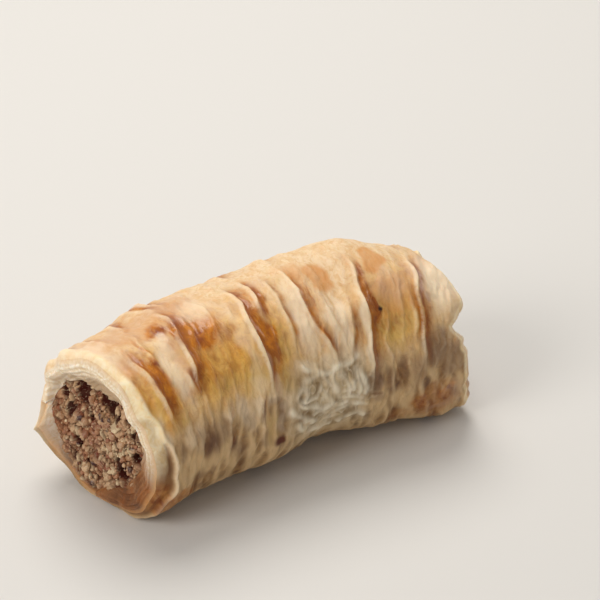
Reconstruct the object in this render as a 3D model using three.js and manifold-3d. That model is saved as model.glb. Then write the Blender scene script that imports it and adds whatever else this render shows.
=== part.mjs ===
// A rolled baklava: thin filo pastry wound round a core of chopped nuts, pushed together on its
// rolling pin so that the pastry gathers into pleats, then cut off square at both ends.
// Millimetres, +Z up. The roll lies along X with its open cut end towards -X, its hollow side
// towards -Y, and its flattened underside on z = 0.

import * as THREE from 'three';
import { mergeVertices } from 'three/addons/utils/BufferGeometryUtils.js';
import Module from 'manifold-3d';

const wasm = await Module();
wasm.setup();

// ---------------------------------------------------------------- driving dimensions

const ROLL_LENGTH = 60.8; // along the curved middle line
const BEND = THREE.MathUtils.degToRad(30); // between the directions of the two ends
const HALF_WIDTH = [13.85, 14.1, 12.3]; // at the near end, the middle and the far end
const HALF_HEIGHT = [13.8, 14.7, 13.2];
const FLATTENED = 1.2; // how much of the round section the baking tray takes off

const WALL = { front: 2.5, top: 4.6, back: 1.7, bottom: 3.0 }; // rolled pastry round the nuts
const CLEARANCE = 0.3; // between the nuts and the pastry
const FILLING_RECESS = 0.9; // of the nuts behind the cut edge of the pastry

const AROUND = 44; // facets round the pastry
const STATION_STEP = 0.74; // between rings along the roll, where no pleat asks for more
const NARROWEST_STEP = 0.2;
const BORE_RINGS = 9;

// Angles go round the roll in degrees: 0 is the front (-Y), 90 the top, 180 the back, 270 below.

// A pleat climbs slowly towards the far end and then drops. `at` is where it drops, as a share
// of the length, `from` and `to` the angles between which it stands, and `height` in mm.
const PLEATS = [
  { at: 0.08, from: 18, to: 74, height: 1.3 },
  { at: 0.165, from: 30, to: 54, height: 0.6 },
  { at: 0.2, from: 38, to: 100, height: 1.0 },
  { at: 0.255, from: -14, to: 22, height: 0.6 },
  { at: 0.345, from: -12, to: 34, height: 0.8 },
  { at: 0.405, from: 8, to: 98, height: 1.5 },
  { at: 0.448, from: 58, to: 104, height: 0.9 },
  { at: 0.505, from: 30, to: 76, height: 0.7 },
  { at: 0.558, from: 32, to: 100, height: 1.0 },
  { at: 0.615, from: 22, to: 66, height: 0.8 },
  { at: 0.668, from: 16, to: 70, height: 0.9 },
  { at: 0.722, from: -4, to: 82, height: 1.4 },
  { at: 0.84, from: 14, to: 64, height: 0.6 },
  { at: 0.885, from: 22, to: 92, height: 1.1 },
  { at: 0.945, from: 98, to: 114, height: 1.6 },
];
// More of them cross the back and the underside, by a seeded draw between these limits.
const BACK_PLEATS = { count: 21, middle: [165, 235], half: [42, 70], height: [0.5, 1.2] };
const PLEAT_RISE = 1.7; // how far a pleat takes to climb
const PLEAT_FALL = 0.32; // and to drop
const HIGHEST_PLEAT = 1.7; // where several stand together
const SUNK = 0.55; // of the skin between the pleats, under the smooth form

// Swellings and dents of the soft roll: `at`, `angle`, `height`, and how far each one reaches.
const SWELLINGS = [
  { at: 0.6, angle: -38, height: -1.0, reach: 0.07, reachAngle: 24 },
  { at: 0.4, angle: -36, height: 1.4, reach: 0.075, reachAngle: 26 },
  { at: 0.04, angle: -48, height: 1.3, reach: 0.1, reachAngle: 24 },
  { at: 0.98, angle: -48, height: 0.9, reach: 0.06, reachAngle: 24 },
  { at: 0.72, angle: 104, height: 1.7, reach: 0.125, reachAngle: 40 },
  { at: 0.3, angle: 112, height: -0.3, reach: 0.1, reachAngle: 34 },
  { at: 0.02, angle: 138, height: -1.0, reach: 0.08, reachAngle: 26 },
  { at: 0.02, angle: 236, height: -0.8, reach: 0.08, reachAngle: 20 },
  { at: 0.82, angle: 60, height: 0.35, reach: 0.06, reachAngle: 24 },
];
// Low waves of the whole skin, where nuts press from inside.
const WAVES = [
  { height: 0.22, round: 3, along: 11, phase: 0 },
  { height: 0.18, round: 5, along: -17, phase: 1.3 },
  { height: 0.16, round: 2, along: 29, phase: 0.6 },
];
const GATHER = { at: 0.64, angle: 26, pull: 0.42, reach: 0.1, reachAngle: 24 }; // pleats draw in here
const LEAN = { angle: 35, length: 0.85 }; // of the pleats, towards the far end over the top

// The outermost sheet stops short of both cut ends at the front and leaves the layer below bare.
const BARE_NEAR = { angle: -6, reachAngle: 44, length: 2.6 };
const BARE_FAR = { angle: -8, reachAngle: 40, length: 7.2 };
const SHEET_STEP = 0.75; // the drop at its edge
const SHEET_EDGE = 0.4; // and the length that the drop takes

// The far cut slants back over the top, with a nick at the front of the loose upper lobe.
const FAR_SLANT = { angle: 108, reachAngle: 44, length: 5.0 };
const FAR_NICK = { angle: 36, reachAngle: 5, length: 2.4 };
const FAR_SLANT_FROM = 0.78; // the share of the length from which the rings follow the slant

// One brittle corner stands out from the near cut at the back.
const NEAR_CORNER = { angle: 199, reachAngle: 14, length: 2.6, lift: 0.5, root: 2.0 };

// The cut edge shows the turns of the roll: rings across the wall, from outside to inside, as a
// share of the wall, and how far each stands out of the cut. Going once round, a ring winds
// inwards by SPIRAL of the wall, and it starts under the roll at SEAM.
const CUT_RINGS = [
  { share: 0.12, out: 0.35 },
  { share: 0.28, out: -0.3 },
  { share: 0.44, out: 0.35 },
  { share: 0.62, out: -0.55 },
  { share: 0.78, out: -0.15 },
];
const SPIRAL = 0.2;
const SEAM = -60;
const BORE_LIP = 1.1; // how far the innermost turn lies behind the cut

const FILLING_AROUND = 26;
const FILLING_RINGS = 9;
const NUTS = [
  { end: 0, count: 46, smallest: 1.8, largest: 3.4 },
  { end: 1, count: 28, smallest: 1.9, largest: 3.4 },
];
const NUT_UNEVEN = [0.7, 1.15]; // how near and far a nut's corners lie, of its half size
const NUT_STANDS = [-0.15, 0.2]; // where its middle lies, out of the filling's face
const MOSTLY_SMALL = 1.6; // the draw's exponent
const GOLDEN_ANGLE = 137.5;

const FILO = { color: 0xdcb682, roughness: 0.5, metalness: 0 };
const WALNUT = { color: 0x8d6a4f, roughness: 0.75, metalness: 0 };

// ---------------------------------------------------------------- small helpers

const radians = THREE.MathUtils.degToRad;

function seeded(seed) {
  let state = seed;
  return () => {
    state = (state + 0x6d2b79f5) | 0;
    let mixed = Math.imul(state ^ (state >>> 15), 1 | state);
    mixed = (mixed + Math.imul(mixed ^ (mixed >>> 7), 61 | mixed)) ^ mixed;
    return ((mixed ^ (mixed >>> 14)) >>> 0) / 4294967296;
  };
}

// A smooth curve through its values at t = 0, 0.5 and 1.
function throughThree([near, middle, far], t) {
  return near * (1 - t) * (1 - 2 * t) + 4 * middle * t * (1 - t) + far * t * (2 * t - 1);
}

// The shortest way round from one angle to another, in degrees.
function turnBetween(angle, other) {
  return THREE.MathUtils.euclideanModulo(angle - other + 180, 360) - 180;
}

function between([low, high], share) {
  return THREE.MathUtils.lerp(low, high, share);
}

function bell(distance, reach) {
  return Math.exp(-((distance / reach) ** 2));
}

// ---------------------------------------------------------------- the roll's round form

// The middle line is an arc of a circle, seen from above.
function middleLine(t) {
  const radius = ROLL_LENGTH / BEND;
  const heading = BEND * (0.5 - t);
  const x = radius * (Math.sin(BEND / 2) - Math.sin(heading));
  const y = radius * (Math.cos(heading) - Math.cos(BEND / 2));
  return { x, y, heading };
}

// A point of the roll: `out` is its distance beyond the smooth form's surface.
function pointOnRoll(t, angle, out, halfWidth, halfHeight, centreHeight, shiftBack = 0) {
  const { x, y, heading } = middleLine(t);
  const across = (halfWidth + out) * -Math.cos(radians(angle)) + shiftBack;
  const height = centreHeight + (halfHeight + out) * Math.sin(radians(angle));
  return new THREE.Vector3(
    x - across * Math.sin(heading),
    y + across * Math.cos(heading),
    Math.max(height, 0),
  );
}

function skinPoint(t, angle, out) {
  const halfHeight = throughThree(HALF_HEIGHT, t);
  const centre = halfHeight - FLATTENED;
  return pointOnRoll(t, angle, out, throughThree(HALF_WIDTH, t), halfHeight, centre);
}

// The bore is an ellipse that sits low and towards the back, because the wall is uneven.
function borePoint(t, angle, shrink = 0) {
  const outerHalfHeight = throughThree(HALF_HEIGHT, t);
  const outerHeight = 2 * outerHalfHeight - FLATTENED;
  const halfWidth = throughThree(HALF_WIDTH, t) - (WALL.front + WALL.back) / 2 - shrink;
  const halfHeight = (outerHeight - WALL.top - WALL.bottom) / 2 - shrink;
  const centre = WALL.bottom + (outerHeight - WALL.top - WALL.bottom) / 2;
  const shiftBack = (WALL.front - WALL.back) / 2;
  return pointOnRoll(t, angle, 0, halfWidth, halfHeight, centre, shiftBack);
}

// ---------------------------------------------------------------- relief of the pastry

function makeBackPleats() {
  const random = seeded(7);
  return Array.from({ length: BACK_PLEATS.count }, (_, k) => {
    const middle = between(BACK_PLEATS.middle, random());
    const half = between(BACK_PLEATS.half, random());
    const at = (k + between([0.25, 0.75], random())) / BACK_PLEATS.count;
    return { at, from: middle - half, to: middle + half, height: between(BACK_PLEATS.height, random()) };
  });
}

const ALL_PLEATS = [...PLEATS, ...makeBackPleats()];

function pleatHeight(pleat, t, angle) {
  const middle = (pleat.from + pleat.to) / 2;
  const half = (pleat.to - pleat.from) / 2;
  const turn = Math.abs(turnBetween(angle, middle)) / half;
  const fade = 1 - THREE.MathUtils.smoothstep(turn, 0.55, 1.15);
  const past = (t - pleat.at) * ROLL_LENGTH;
  const profile = past < 0 ? Math.exp(past / PLEAT_RISE) : Math.exp(-past / PLEAT_FALL);
  return pleat.height * fade * profile;
}

function wave({ height, round, along, phase }, t, angle) {
  return height * Math.cos(round * radians(angle) + along * t + phase);
}

function swelling({ at, angle: middle, height, reach, reachAngle }, t, angle) {
  return height * bell(t - at, reach) * bell(turnBetween(angle, middle), reachAngle);
}

// The share of the brittle corner's height at a place: 1 at its tip, 0 away from it.
function nearCorner(t, angle) {
  const across = 1 - Math.abs(turnBetween(angle, NEAR_CORNER.angle)) / NEAR_CORNER.reachAngle;
  const along = 1 - (t * ROLL_LENGTH) / NEAR_CORNER.root;
  return Math.max(0, across) * Math.max(0, along);
}

// How far the outermost sheet has stepped down to the layer below, from 0 to 1.
function bareLayer(t, angle) {
  const nearEdge = BARE_NEAR.length * bell(turnBetween(angle, BARE_NEAR.angle), BARE_NEAR.reachAngle);
  const farEdge = BARE_FAR.length * bell(turnBetween(angle, BARE_FAR.angle), BARE_FAR.reachAngle);
  const fromNear = t * ROLL_LENGTH - nearEdge;
  const fromFar = (1 - t) * ROLL_LENGTH - farEdge;
  const covered = THREE.MathUtils.smoothstep(Math.min(fromNear, fromFar), -SHEET_EDGE, 0);
  return 1 - covered;
}

// The height of the skin over the smooth form.
function relief(t, angle) {
  const total = (form, list) => list.reduce((sum, each) => sum + form(each, t, angle), 0);
  const pleats = Math.min(total(pleatHeight, ALL_PLEATS), HIGHEST_PLEAT);
  const corner = NEAR_CORNER.lift * nearCorner(t, angle);
  const drop = SHEET_STEP * bareLayer(t, angle);
  return pleats + total(wave, WAVES) + total(swelling, SWELLINGS) + corner - drop - SUNK;
}

// Where a ring at t really lies at this angle, `depth` of the way through the wall: the rings
// lean, draw in at the gather, and follow the slanting cut at the far end. Only the outer sheets
// reach out into the brittle corner.
function drawnTo(t, angle, depth = 0) {
  const free = Math.sin(Math.PI * t) ** 0.7;
  const lean = (LEAN.length / ROLL_LENGTH) * Math.sin(radians(angle - LEAN.angle)) * free;
  const near = bell(t - GATHER.at, GATHER.reach) * bell(turnBetween(angle, GATHER.angle), GATHER.reachAngle);
  const gathered = GATHER.pull * near * (t - GATHER.at);
  const slanted = farCut(angle) * THREE.MathUtils.smoothstep(t, FAR_SLANT_FROM, 1);
  const outer = 1 - THREE.MathUtils.smoothstep(depth, 0.05, 0.3);
  const corner = (NEAR_CORNER.length / ROLL_LENGTH) * nearCorner(t, angle) * outer;
  return t + lean - gathered - slanted - corner;
}

function farCut(angle) {
  const slant = FAR_SLANT.length * bell(turnBetween(angle, FAR_SLANT.angle), FAR_SLANT.reachAngle);
  const nick = FAR_NICK.length * bell(turnBetween(angle, FAR_NICK.angle), FAR_NICK.reachAngle);
  return (slant + nick) / ROLL_LENGTH;
}

// ---------------------------------------------------------------- closed grids

// Rings of points become one closed surface. The last ring joins the first, so the rings go
// round the wall of a tube: along its outside, over the cut, back through its bore.
function closedTube(rings) {
  const around = rings[0].length;
  const position = rings.flat().flatMap((p) => [p.x, p.y, p.z]);
  const index = [];
  rings.forEach((_, i) => {
    const next = (i + 1) % rings.length;
    for (let j = 0; j < around; j++) {
      const k = (j + 1) % around;
      const [a, b, c, d] = [i * around + j, next * around + j, next * around + k, i * around + k];
      index.push(a, b, c, a, c, d);
    }
  });
  return geometryOf(position, index);
}

// Rings of points with a fan over each end.
function closedPlug(rings, firstCentre, lastCentre) {
  const around = rings[0].length;
  const points = [...rings.flat(), firstCentre, lastCentre];
  const position = points.flatMap((p) => [p.x, p.y, p.z]);
  const first = points.length - 2;
  const last = points.length - 1;
  const start = (rings.length - 1) * around;
  const index = [];
  for (let j = 0; j < around; j++) {
    const k = (j + 1) % around;
    for (let i = 0; i < rings.length - 1; i++) {
      const [a, b, c, d] = [i * around + j, (i + 1) * around + j, (i + 1) * around + k, i * around + k];
      index.push(a, b, c, a, c, d);
    }
    index.push(first, j, k, last, start + k, start + j);
  }
  return geometryOf(position, index);
}

function geometryOf(position, index) {
  const geometry = new THREE.BufferGeometry();
  geometry.setAttribute('position', new THREE.Float32BufferAttribute(position, 3));
  geometry.setIndex(index);
  return geometry;
}

function solidOf(geometry) {
  const plain = geometry.clone();
  plain.deleteAttribute('normal');
  plain.deleteAttribute('uv');
  const merged = mergeVertices(plain, 1e-4);
  return new wasm.Manifold(
    new wasm.Mesh({
      numProp: 3,
      vertProperties: new Float32Array(merged.attributes.position.array),
      triVerts: new Uint32Array(merged.index.array),
    }),
  );
}

function geometryOfSolid(solid) {
  const mesh = solid.getMesh();
  return geometryOf(Array.from(mesh.vertProperties), Array.from(mesh.triVerts));
}

// ---------------------------------------------------------------- the pastry

const anglesRound = (count) => Array.from({ length: count }, (_, j) => (360 * j) / count);

// Rings lie evenly, with two more at each pleat: one on its crest and one at its foot.
function stationsAlong() {
  const even = Math.round(ROLL_LENGTH / STATION_STEP);
  const wanted = Array.from({ length: even + 1 }, (_, i) => ({ t: i / even, keep: i % even === 0 }));
  PLEATS.forEach((pleat) => {
    wanted.push({ t: pleat.at, keep: true });
    wanted.push({ t: pleat.at + (1.6 * PLEAT_FALL) / ROLL_LENGTH, keep: true });
  });
  wanted.sort((a, b) => a.t - b.t);
  const tooNear = (a, b) => Math.abs(a.t - b.t) * ROLL_LENGTH < NARROWEST_STEP;
  return wanted
    .filter((w, i) => w.keep || !wanted.some((other, k) => k !== i && other.keep && tooNear(w, other)))
    .map((w) => w.t);
}

// One ring across the cut edge at an end: between the skin and the bore, standing out by `out`.
function cutRing(end, { share, out }) {
  return anglesRound(AROUND).map((angle) => {
    const t = drawnTo(end, angle, share);
    const turned = THREE.MathUtils.euclideanModulo(angle - SEAM, 360) / 360;
    const wound = share + SPIRAL * (turned - 0.5) * Math.sin(Math.PI * share);
    const along = t + ((end ? 1 : -1) * out) / ROLL_LENGTH;
    const skin = skinPoint(along, angle, relief(end, angle));
    return skin.lerp(borePoint(along, angle), wound);
  });
}

function makeWrap() {
  const skin = stationsAlong().map((t) =>
    anglesRound(AROUND).map((angle) => skinPoint(drawnTo(t, angle), angle, relief(t, angle))),
  );
  const bore = Array.from({ length: BORE_RINGS + 1 }, (_, i) => 1 - i / BORE_RINGS).map((t) =>
    anglesRound(AROUND).map((angle) => {
      const behind = t === 0 ? BORE_LIP : t === 1 ? -BORE_LIP : 0;
      return borePoint(drawnTo(t, angle, 1) + behind / ROLL_LENGTH, angle);
    }),
  );
  const farCutRings = CUT_RINGS.map((ring) => cutRing(1, ring));
  const nearCutRings = CUT_RINGS.map((ring) => cutRing(0, ring)).reverse();
  return closedTube([...skin, ...farCutRings, ...bore, ...nearCutRings]);
}

// ---------------------------------------------------------------- the filling

// The filling's cut face at an end, as a share of the way from its middle to the bore.
function fillingPoint(end, angle, share, out = 0) {
  const recess = (FILLING_RECESS - out) / ROLL_LENGTH;
  const t = drawnTo(end, angle, 1) + (end ? -recess : recess);
  const edge = borePoint(t, angle, CLEARANCE);
  const opposite = borePoint(t, angle + 180, CLEARANCE);
  return edge.clone().lerp(opposite, (1 - share) / 2);
}

// One chopped piece of nut: an icosahedron of half size `half` with uneven corners.
function nutPiece(random, half) {
  const geometry = new THREE.IcosahedronGeometry(1, 0);
  geometry.deleteAttribute('normal');
  geometry.deleteAttribute('uv');
  const merged = mergeVertices(geometry, 1e-4);
  const position = merged.attributes.position;
  for (let i = 0; i < position.count; i++) {
    const corner = new THREE.Vector3().fromBufferAttribute(position, i);
    position.setXYZ(i, ...corner.multiplyScalar(half * between(NUT_UNEVEN, random())));
  }
  const [x, y, z] = [random(), random(), random()].map((share) => 2 * Math.PI * share);
  const turn = new THREE.Euler(x, y, z);
  merged.applyMatrix4(new THREE.Matrix4().makeRotationFromEuler(turn));
  return merged;
}

// Chopped nuts over one cut face, laid out on a sunflower spiral so that they cover it evenly.
function nutsOn(face) {
  const random = seeded(31 + face.end);
  return Array.from({ length: face.count }, (_, k) => {
    const half = between([face.smallest, face.largest], random() ** MOSTLY_SMALL) / 2;
    const inside = 0.97 - (1.2 * half) / HALF_HEIGHT[2];
    const share = inside * Math.sqrt((k + 0.5) / face.count);
    const { x, y, z } = fillingPoint(face.end, GOLDEN_ANGLE * k, share, between(NUT_STANDS, random()));
    return nutPiece(random, half).translate(x, y, z);
  });
}

function makeFilling() {
  const rings = Array.from({ length: FILLING_RINGS + 1 }, (_, i) => {
    const t = i / FILLING_RINGS;
    const recess = (FILLING_RECESS / ROLL_LENGTH) * (1 - 2 * t);
    return anglesRound(FILLING_AROUND).map((angle) =>
      borePoint(drawnTo(t, angle, 1) + recess, angle, CLEARANCE),
    );
  });
  const core = closedPlug(rings, fillingPoint(0, 0, 0), fillingPoint(1, 0, 0));
  const pieces = NUTS.flatMap(nutsOn);
  return geometryOfSolid(
    pieces.reduce((whole, piece) => whole.add(solidOf(piece)), solidOf(core)),
  );
}

// ---------------------------------------------------------------- the whole

function named(name, geometry, look) {
  const mesh = new THREE.Mesh(geometry, new THREE.MeshStandardMaterial(look));
  mesh.name = name;
  return mesh;
}

const roll = new THREE.Group();
roll.add(named('filo_wrap', makeWrap(), FILO));
roll.add(named('nut_filling', makeFilling(), WALNUT));

// The origin is the middle of the roll's footprint.
const extent = new THREE.Box3().setFromObject(roll);
const middle = extent.getCenter(new THREE.Vector3());
roll.children.forEach((mesh) => mesh.geometry.translate(-middle.x, -middle.y, -extent.min.z));

export default roll;
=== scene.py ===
# %% [markdown]
# # A rolled baklava, dressed in Blender
# A sheet of filo, thinner than paper, is wound on a rod round chopped walnuts and pushed
# together, so that it gathers into pleats like a pushed-up sleeve. It is cut to finger length,
# baked until the ridges are dry and pale, and soaked in syrup, which turns the creases amber.
# The solid parts of the roll come in as a fixed frame. Everything here is fitted to that frame.

import itertools
import math

import bmesh
import bpy
import numpy as np
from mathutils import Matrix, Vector
from mathutils.bvhtree import BVHTree


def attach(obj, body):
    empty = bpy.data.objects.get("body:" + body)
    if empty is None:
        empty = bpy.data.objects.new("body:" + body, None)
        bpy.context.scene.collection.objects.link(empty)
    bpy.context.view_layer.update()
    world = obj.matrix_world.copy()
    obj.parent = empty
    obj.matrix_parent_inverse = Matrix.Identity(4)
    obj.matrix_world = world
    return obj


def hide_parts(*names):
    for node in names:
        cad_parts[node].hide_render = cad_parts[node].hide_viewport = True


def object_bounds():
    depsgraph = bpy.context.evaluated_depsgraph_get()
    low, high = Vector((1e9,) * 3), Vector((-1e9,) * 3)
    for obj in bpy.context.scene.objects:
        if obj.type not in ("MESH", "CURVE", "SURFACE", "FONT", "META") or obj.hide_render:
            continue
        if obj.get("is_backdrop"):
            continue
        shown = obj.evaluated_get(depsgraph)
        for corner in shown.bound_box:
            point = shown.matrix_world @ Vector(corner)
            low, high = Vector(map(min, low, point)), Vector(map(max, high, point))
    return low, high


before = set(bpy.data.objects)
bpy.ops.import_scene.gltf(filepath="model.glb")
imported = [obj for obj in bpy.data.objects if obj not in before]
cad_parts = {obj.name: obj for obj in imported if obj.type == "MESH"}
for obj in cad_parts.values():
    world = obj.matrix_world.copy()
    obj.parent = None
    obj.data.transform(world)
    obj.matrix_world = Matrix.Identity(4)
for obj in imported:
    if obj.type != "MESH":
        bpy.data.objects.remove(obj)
cad_low, cad_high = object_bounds()
print("CAD box in mm:", [round(1000 * side, 2) for side in cad_high - cad_low])

# %% [markdown]
# ## The middle line
# The roll is a tube whose middle line is a short arc, seen from above. Two numbers place every
# point of the pastry: the share of the way along that arc, 0 at the open near end and 1 at the
# far end, and the angle round the roll, 0 at the front, 90 on top, 180 at the back, 270 below.
# Working in these two numbers lets a pleat be written down as it lies, round the roll.

# %% Sizes of the roll
MM = 0.001
ROLL_LENGTH = 60.8 * MM  # along the middle line
BEND = math.radians(30)  # between the directions of the two ends
ARC_RADIUS = ROLL_LENGTH / BEND
MIDDLE = (1.28 * MM, 0.94 * MM)  # the middle of the roll's length, seen from above
AXIS_HEIGHT = (12.6 * MM, 13.5 * MM, 12.0 * MM)  # at the near end, the middle and the far end
print("radius of the bend in mm:", round(ARC_RADIUS / MM, 1))


def as_mm(length):
    """A length along the roll, from a share of it to mm."""
    return length * ROLL_LENGTH / MM


def as_share(length):
    """A length along the roll, from mm to a share of it."""
    return length * MM / ROLL_LENGTH


def through_three(values, share):
    """A smooth curve through its values at shares 0, 0.5 and 1."""
    near, middle, far = values
    near_part = near * (1 - share) * (1 - 2 * share)
    middle_part = 4 * middle * share * (1 - share)
    return near_part + middle_part + far * share * (2 * share - 1)


def place(share, angle, radius):
    """Points of the roll, as an array whose last axis is x, y, z. Angles are in degrees."""
    heading = BEND * (0.5 - share)
    turn = np.radians(angle)
    across = -radius * np.cos(turn)
    x = MIDDLE[0] - ARC_RADIUS * np.sin(heading) - across * np.sin(heading)
    y = MIDDLE[1] + ARC_RADIUS * (np.cos(heading) - 1) + across * np.cos(heading)
    z = through_three(AXIS_HEIGHT, share) + radius * np.sin(turn)
    return np.stack(np.broadcast_arrays(x, y, z), axis=-1)


# %% [markdown]
# ## Reading the frame with rays
# The solid pastry is a faceted tube. Rays shot at it from outside say how far its skin lies from
# the middle line at each place, and rays shot along the roll say where its two cut ends are.
# The new pastry then has the frame's form by construction, wherever that form changes.

# %% Shoot rays at the solid pastry
FAR_AWAY = 30 * MM
LEAST_RADIUS = 8 * MM
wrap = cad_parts["filo_wrap"].data
corners = [tuple(vertex.co) for vertex in wrap.vertices]
wrap_solid = BVHTree.FromPolygons(corners, [tuple(face.vertices) for face in wrap.polygons])


def skin_radius(share, angle):
    """The frame's radius at one place, or nan beyond its ends."""
    centre, outside = place(share, angle, 0.0), place(share, angle, FAR_AWAY)
    inwards = Vector(centre - outside).normalized()
    distance = wrap_solid.ray_cast(Vector(outside), inwards, FAR_AWAY - LEAST_RADIUS)[3]
    return math.nan if distance is None else FAR_AWAY - distance


def cut_share(end, angle, radius):
    """Where a ray shot along the roll from beyond an end meets the cut, as a share of the length."""
    start, outwards = (1.0, 1) if end else (0.0, -1)
    at_end = place(start, angle, radius)
    away = Vector(place(start + 0.01 * outwards, angle, radius) - at_end).normalized()
    distance = wrap_solid.ray_cast(Vector(at_end) + away * FAR_AWAY, -away, 2 * FAR_AWAY)[3]
    return start + outwards * (FAR_AWAY - (distance or FAR_AWAY)) / ROLL_LENGTH


READ_STEP = 3.0  # degrees
READ_SHARES = np.linspace(0, 1, 123)
READ_ANGLES = np.arange(-90, 270, READ_STEP)
form_read = np.array([[skin_radius(s, a) for a in READ_ANGLES] for s in READ_SHARES])
print("rays that met the skin:", int(np.isfinite(form_read).sum()), "of", form_read.size)

# %% [markdown]
# ## A fine grid
# Filo shows folds a third of a millimetre wide, so the new pastry is a grid of about 0.14 mm
# along the roll and 0.25 mm round it. The frame's own faceted pleats are softened out of the
# radius first, by averaging neighbours many times, and finer ones are laid over it afterwards.

# %% Soften the form
SKIN_ROWS = 440
COLUMNS = 360
angles = np.arange(COLUMNS) * 360.0 / COLUMNS - 90


def soften(grid, along, around):
    """Averages each value with its neighbours, so many times along the roll and round it."""
    for _ in range(along):
        padded = np.concatenate([grid[:1], grid, grid[-1:]])
        grid = (padded[:-2] + 2 * grid + padded[2:]) / 4
    for _ in range(around):
        grid = (np.roll(grid, 1, axis=1) + 2 * grid + np.roll(grid, -1, axis=1)) / 4
    return grid


def fill_gaps(column):
    known = np.isfinite(column)
    return np.interp(np.arange(len(column)), np.nonzero(known)[0], column[known])


form_read = np.apply_along_axis(fill_gaps, 0, form_read)
form_read = soften(form_read, 22, 4)


def resample(grid, shares):
    """The softened form at the given shares, one row of shares for each grid row."""
    round_it = np.concatenate([grid, grid[:, :1]], axis=1)
    column = (angles - READ_ANGLES[0]) / READ_STEP
    left = np.floor(column).astype(int)
    part = column - left
    at_angles = round_it[:, left] * (1 - part) + round_it[:, left + 1] * part
    return np.stack(
        [np.interp(shares[:, j], READ_SHARES, at_angles[:, j]) for j in range(COLUMNS)], axis=1
    )


print("softened radius in mm:", (form_read.min() / MM).round(1), "to", (form_read.max() / MM).round(1))

# %% [markdown]
# ## The two cuts
# A knife never cuts quite straight, so every column of the grid begins and ends at its own share.
# The frame's cuts are read with rays just under the skin, and the far one's uneven edge is added.

# %% Find the cuts and make the grid
UNDER_SKIN = 1.4 * MM
edge_radius = [resample(form_read, np.full((1, COLUMNS), end))[0] for end in (0.0, 1.0)]
cut = [
    np.array([cut_share(end, a, r - UNDER_SKIN) for a, r in zip(angles, edge_radius[end])])
    for end in (0, 1)
]
cut = [soften(line[None, :], 0, 10)[0] for line in cut]
# the far cut isn't straight: how far it stands out, in mm, at these angles, with a notch at the front
FAR_EDGE_ANGLES = [-90, -62, -44, -26, -8, 10, 21, 28, 34, 40, 47, 60, 110]
FAR_EDGE_OUT = [0.0, 0.6, 0.9, 0.3, -0.2, -0.5, -0.8, -1.1, -1.2, -0.3, 0.2, 0.3, 0.3]
cut[1] = cut[1] + as_share(np.interp(angles, FAR_EDGE_ANGLES, FAR_EDGE_OUT))
rows = np.linspace(0, 1, SKIN_ROWS)[:, None]
share = cut[0] + (cut[1] - cut[0]) * rows
angle = np.broadcast_to(angles, share.shape)
form = soften(resample(form_read, share), 6, 4)
from_near_cut, from_far_cut = as_mm(share - cut[0]), as_mm(cut[1] - share)
print("cut ends lie at shares", cut[0].min().round(3), "to", cut[1].max().round(3))

# %% [markdown]
# ## Smooth randomness
# Nothing on a pastry is regular. This is gradient noise: every corner of a grid of cells gets a
# seeded random direction, and values are blended between the corners. The points are given
# in roll space: millimetres along the roll, and two coordinates of a round section, so that the
# noise closes round the roll without a seam.

# %% Gradient noise in roll space
SECTION_RADIUS = 14.0  # mm
noise_draw = np.random.default_rng(11)
HASH = noise_draw.permutation(256)
DIRECTIONS = noise_draw.normal(size=(256, 3))
DIRECTIONS /= np.linalg.norm(DIRECTIONS, axis=1, keepdims=True)


def noise(points):
    """Values from about -1 to 1, at points given in cells."""
    cell = np.floor(points).astype(int)
    inside = points - cell
    ease = inside**3 * (inside * (inside * 6 - 15) + 10)
    total = 0.0
    for corner in itertools.product((0, 1), repeat=3):
        i, j, k = np.moveaxis((cell + corner) & 255, -1, 0)
        direction = DIRECTIONS[HASH[(HASH[(HASH[i] + j) & 255] + k) & 255]]
        weight = np.prod(np.where(corner, ease, 1 - ease), axis=-1)
        total = total + weight * np.sum(direction * (inside - corner), axis=-1)
    return 1.6 * total


def roll_space(share, angle):
    """Points for the noise, in mm."""
    turn = np.radians(angle)
    front, up = SECTION_RADIUS * np.cos(turn), SECTION_RADIUS * np.sin(turn)
    return np.stack(np.broadcast_arrays(as_mm(share), front, up), axis=-1)


def grain(space, along, around, offset=0.0):
    """Noise whose cells are so many mm long and so many mm round the roll."""
    return noise(space / np.array([along, around, around]) + offset)


def smooth_step(low, high, value):
    part = np.clip((value - low) / (high - low), 0, 1)
    return part * part * (3 - 2 * part)


def bell(value, reach):
    return np.exp(-((value / reach) ** 2))


def plateau(value, reach):
    """Close to 1 within the reach and close to 0 beyond it."""
    return np.exp(-np.abs(value / reach) ** 4)


def turn_between(one, other):
    return (one - other + 180) % 360 - 180


space = roll_space(share, angle)
print("noise spans", noise(space / 3).min().round(2), "to", noise(space / 3).max().round(2))

# %% [markdown]
# ## Pleats
# A pleat climbs slowly towards the far end of the roll, and then drops, often folding over a
# little. Syrup gathers at the foot of the drop and stains the next slope amber. A cloth
# simulation could gather a sheet in the same way, but nobody could say where each fold comes to
# lie. So the ones that show are written down one by one: where each crosses, how high it is, and
# how strongly and how far the syrup has stained the pastry behind it.

# %% The pleats that show
FOLD_OVER = 0.2  # mm, how far a crest one mm high leans over its foot
FALL = 0.5  # mm, how soon a pleat drops behind its crest


def pleat(path, height, stain=0.0, spread=1.5, rise=1.0):
    """path is (angle, share) points; height, spread and rise are in mm."""
    return {"path": path, "height": height, "stain": stain, "spread": spread, "rise": rise}


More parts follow.
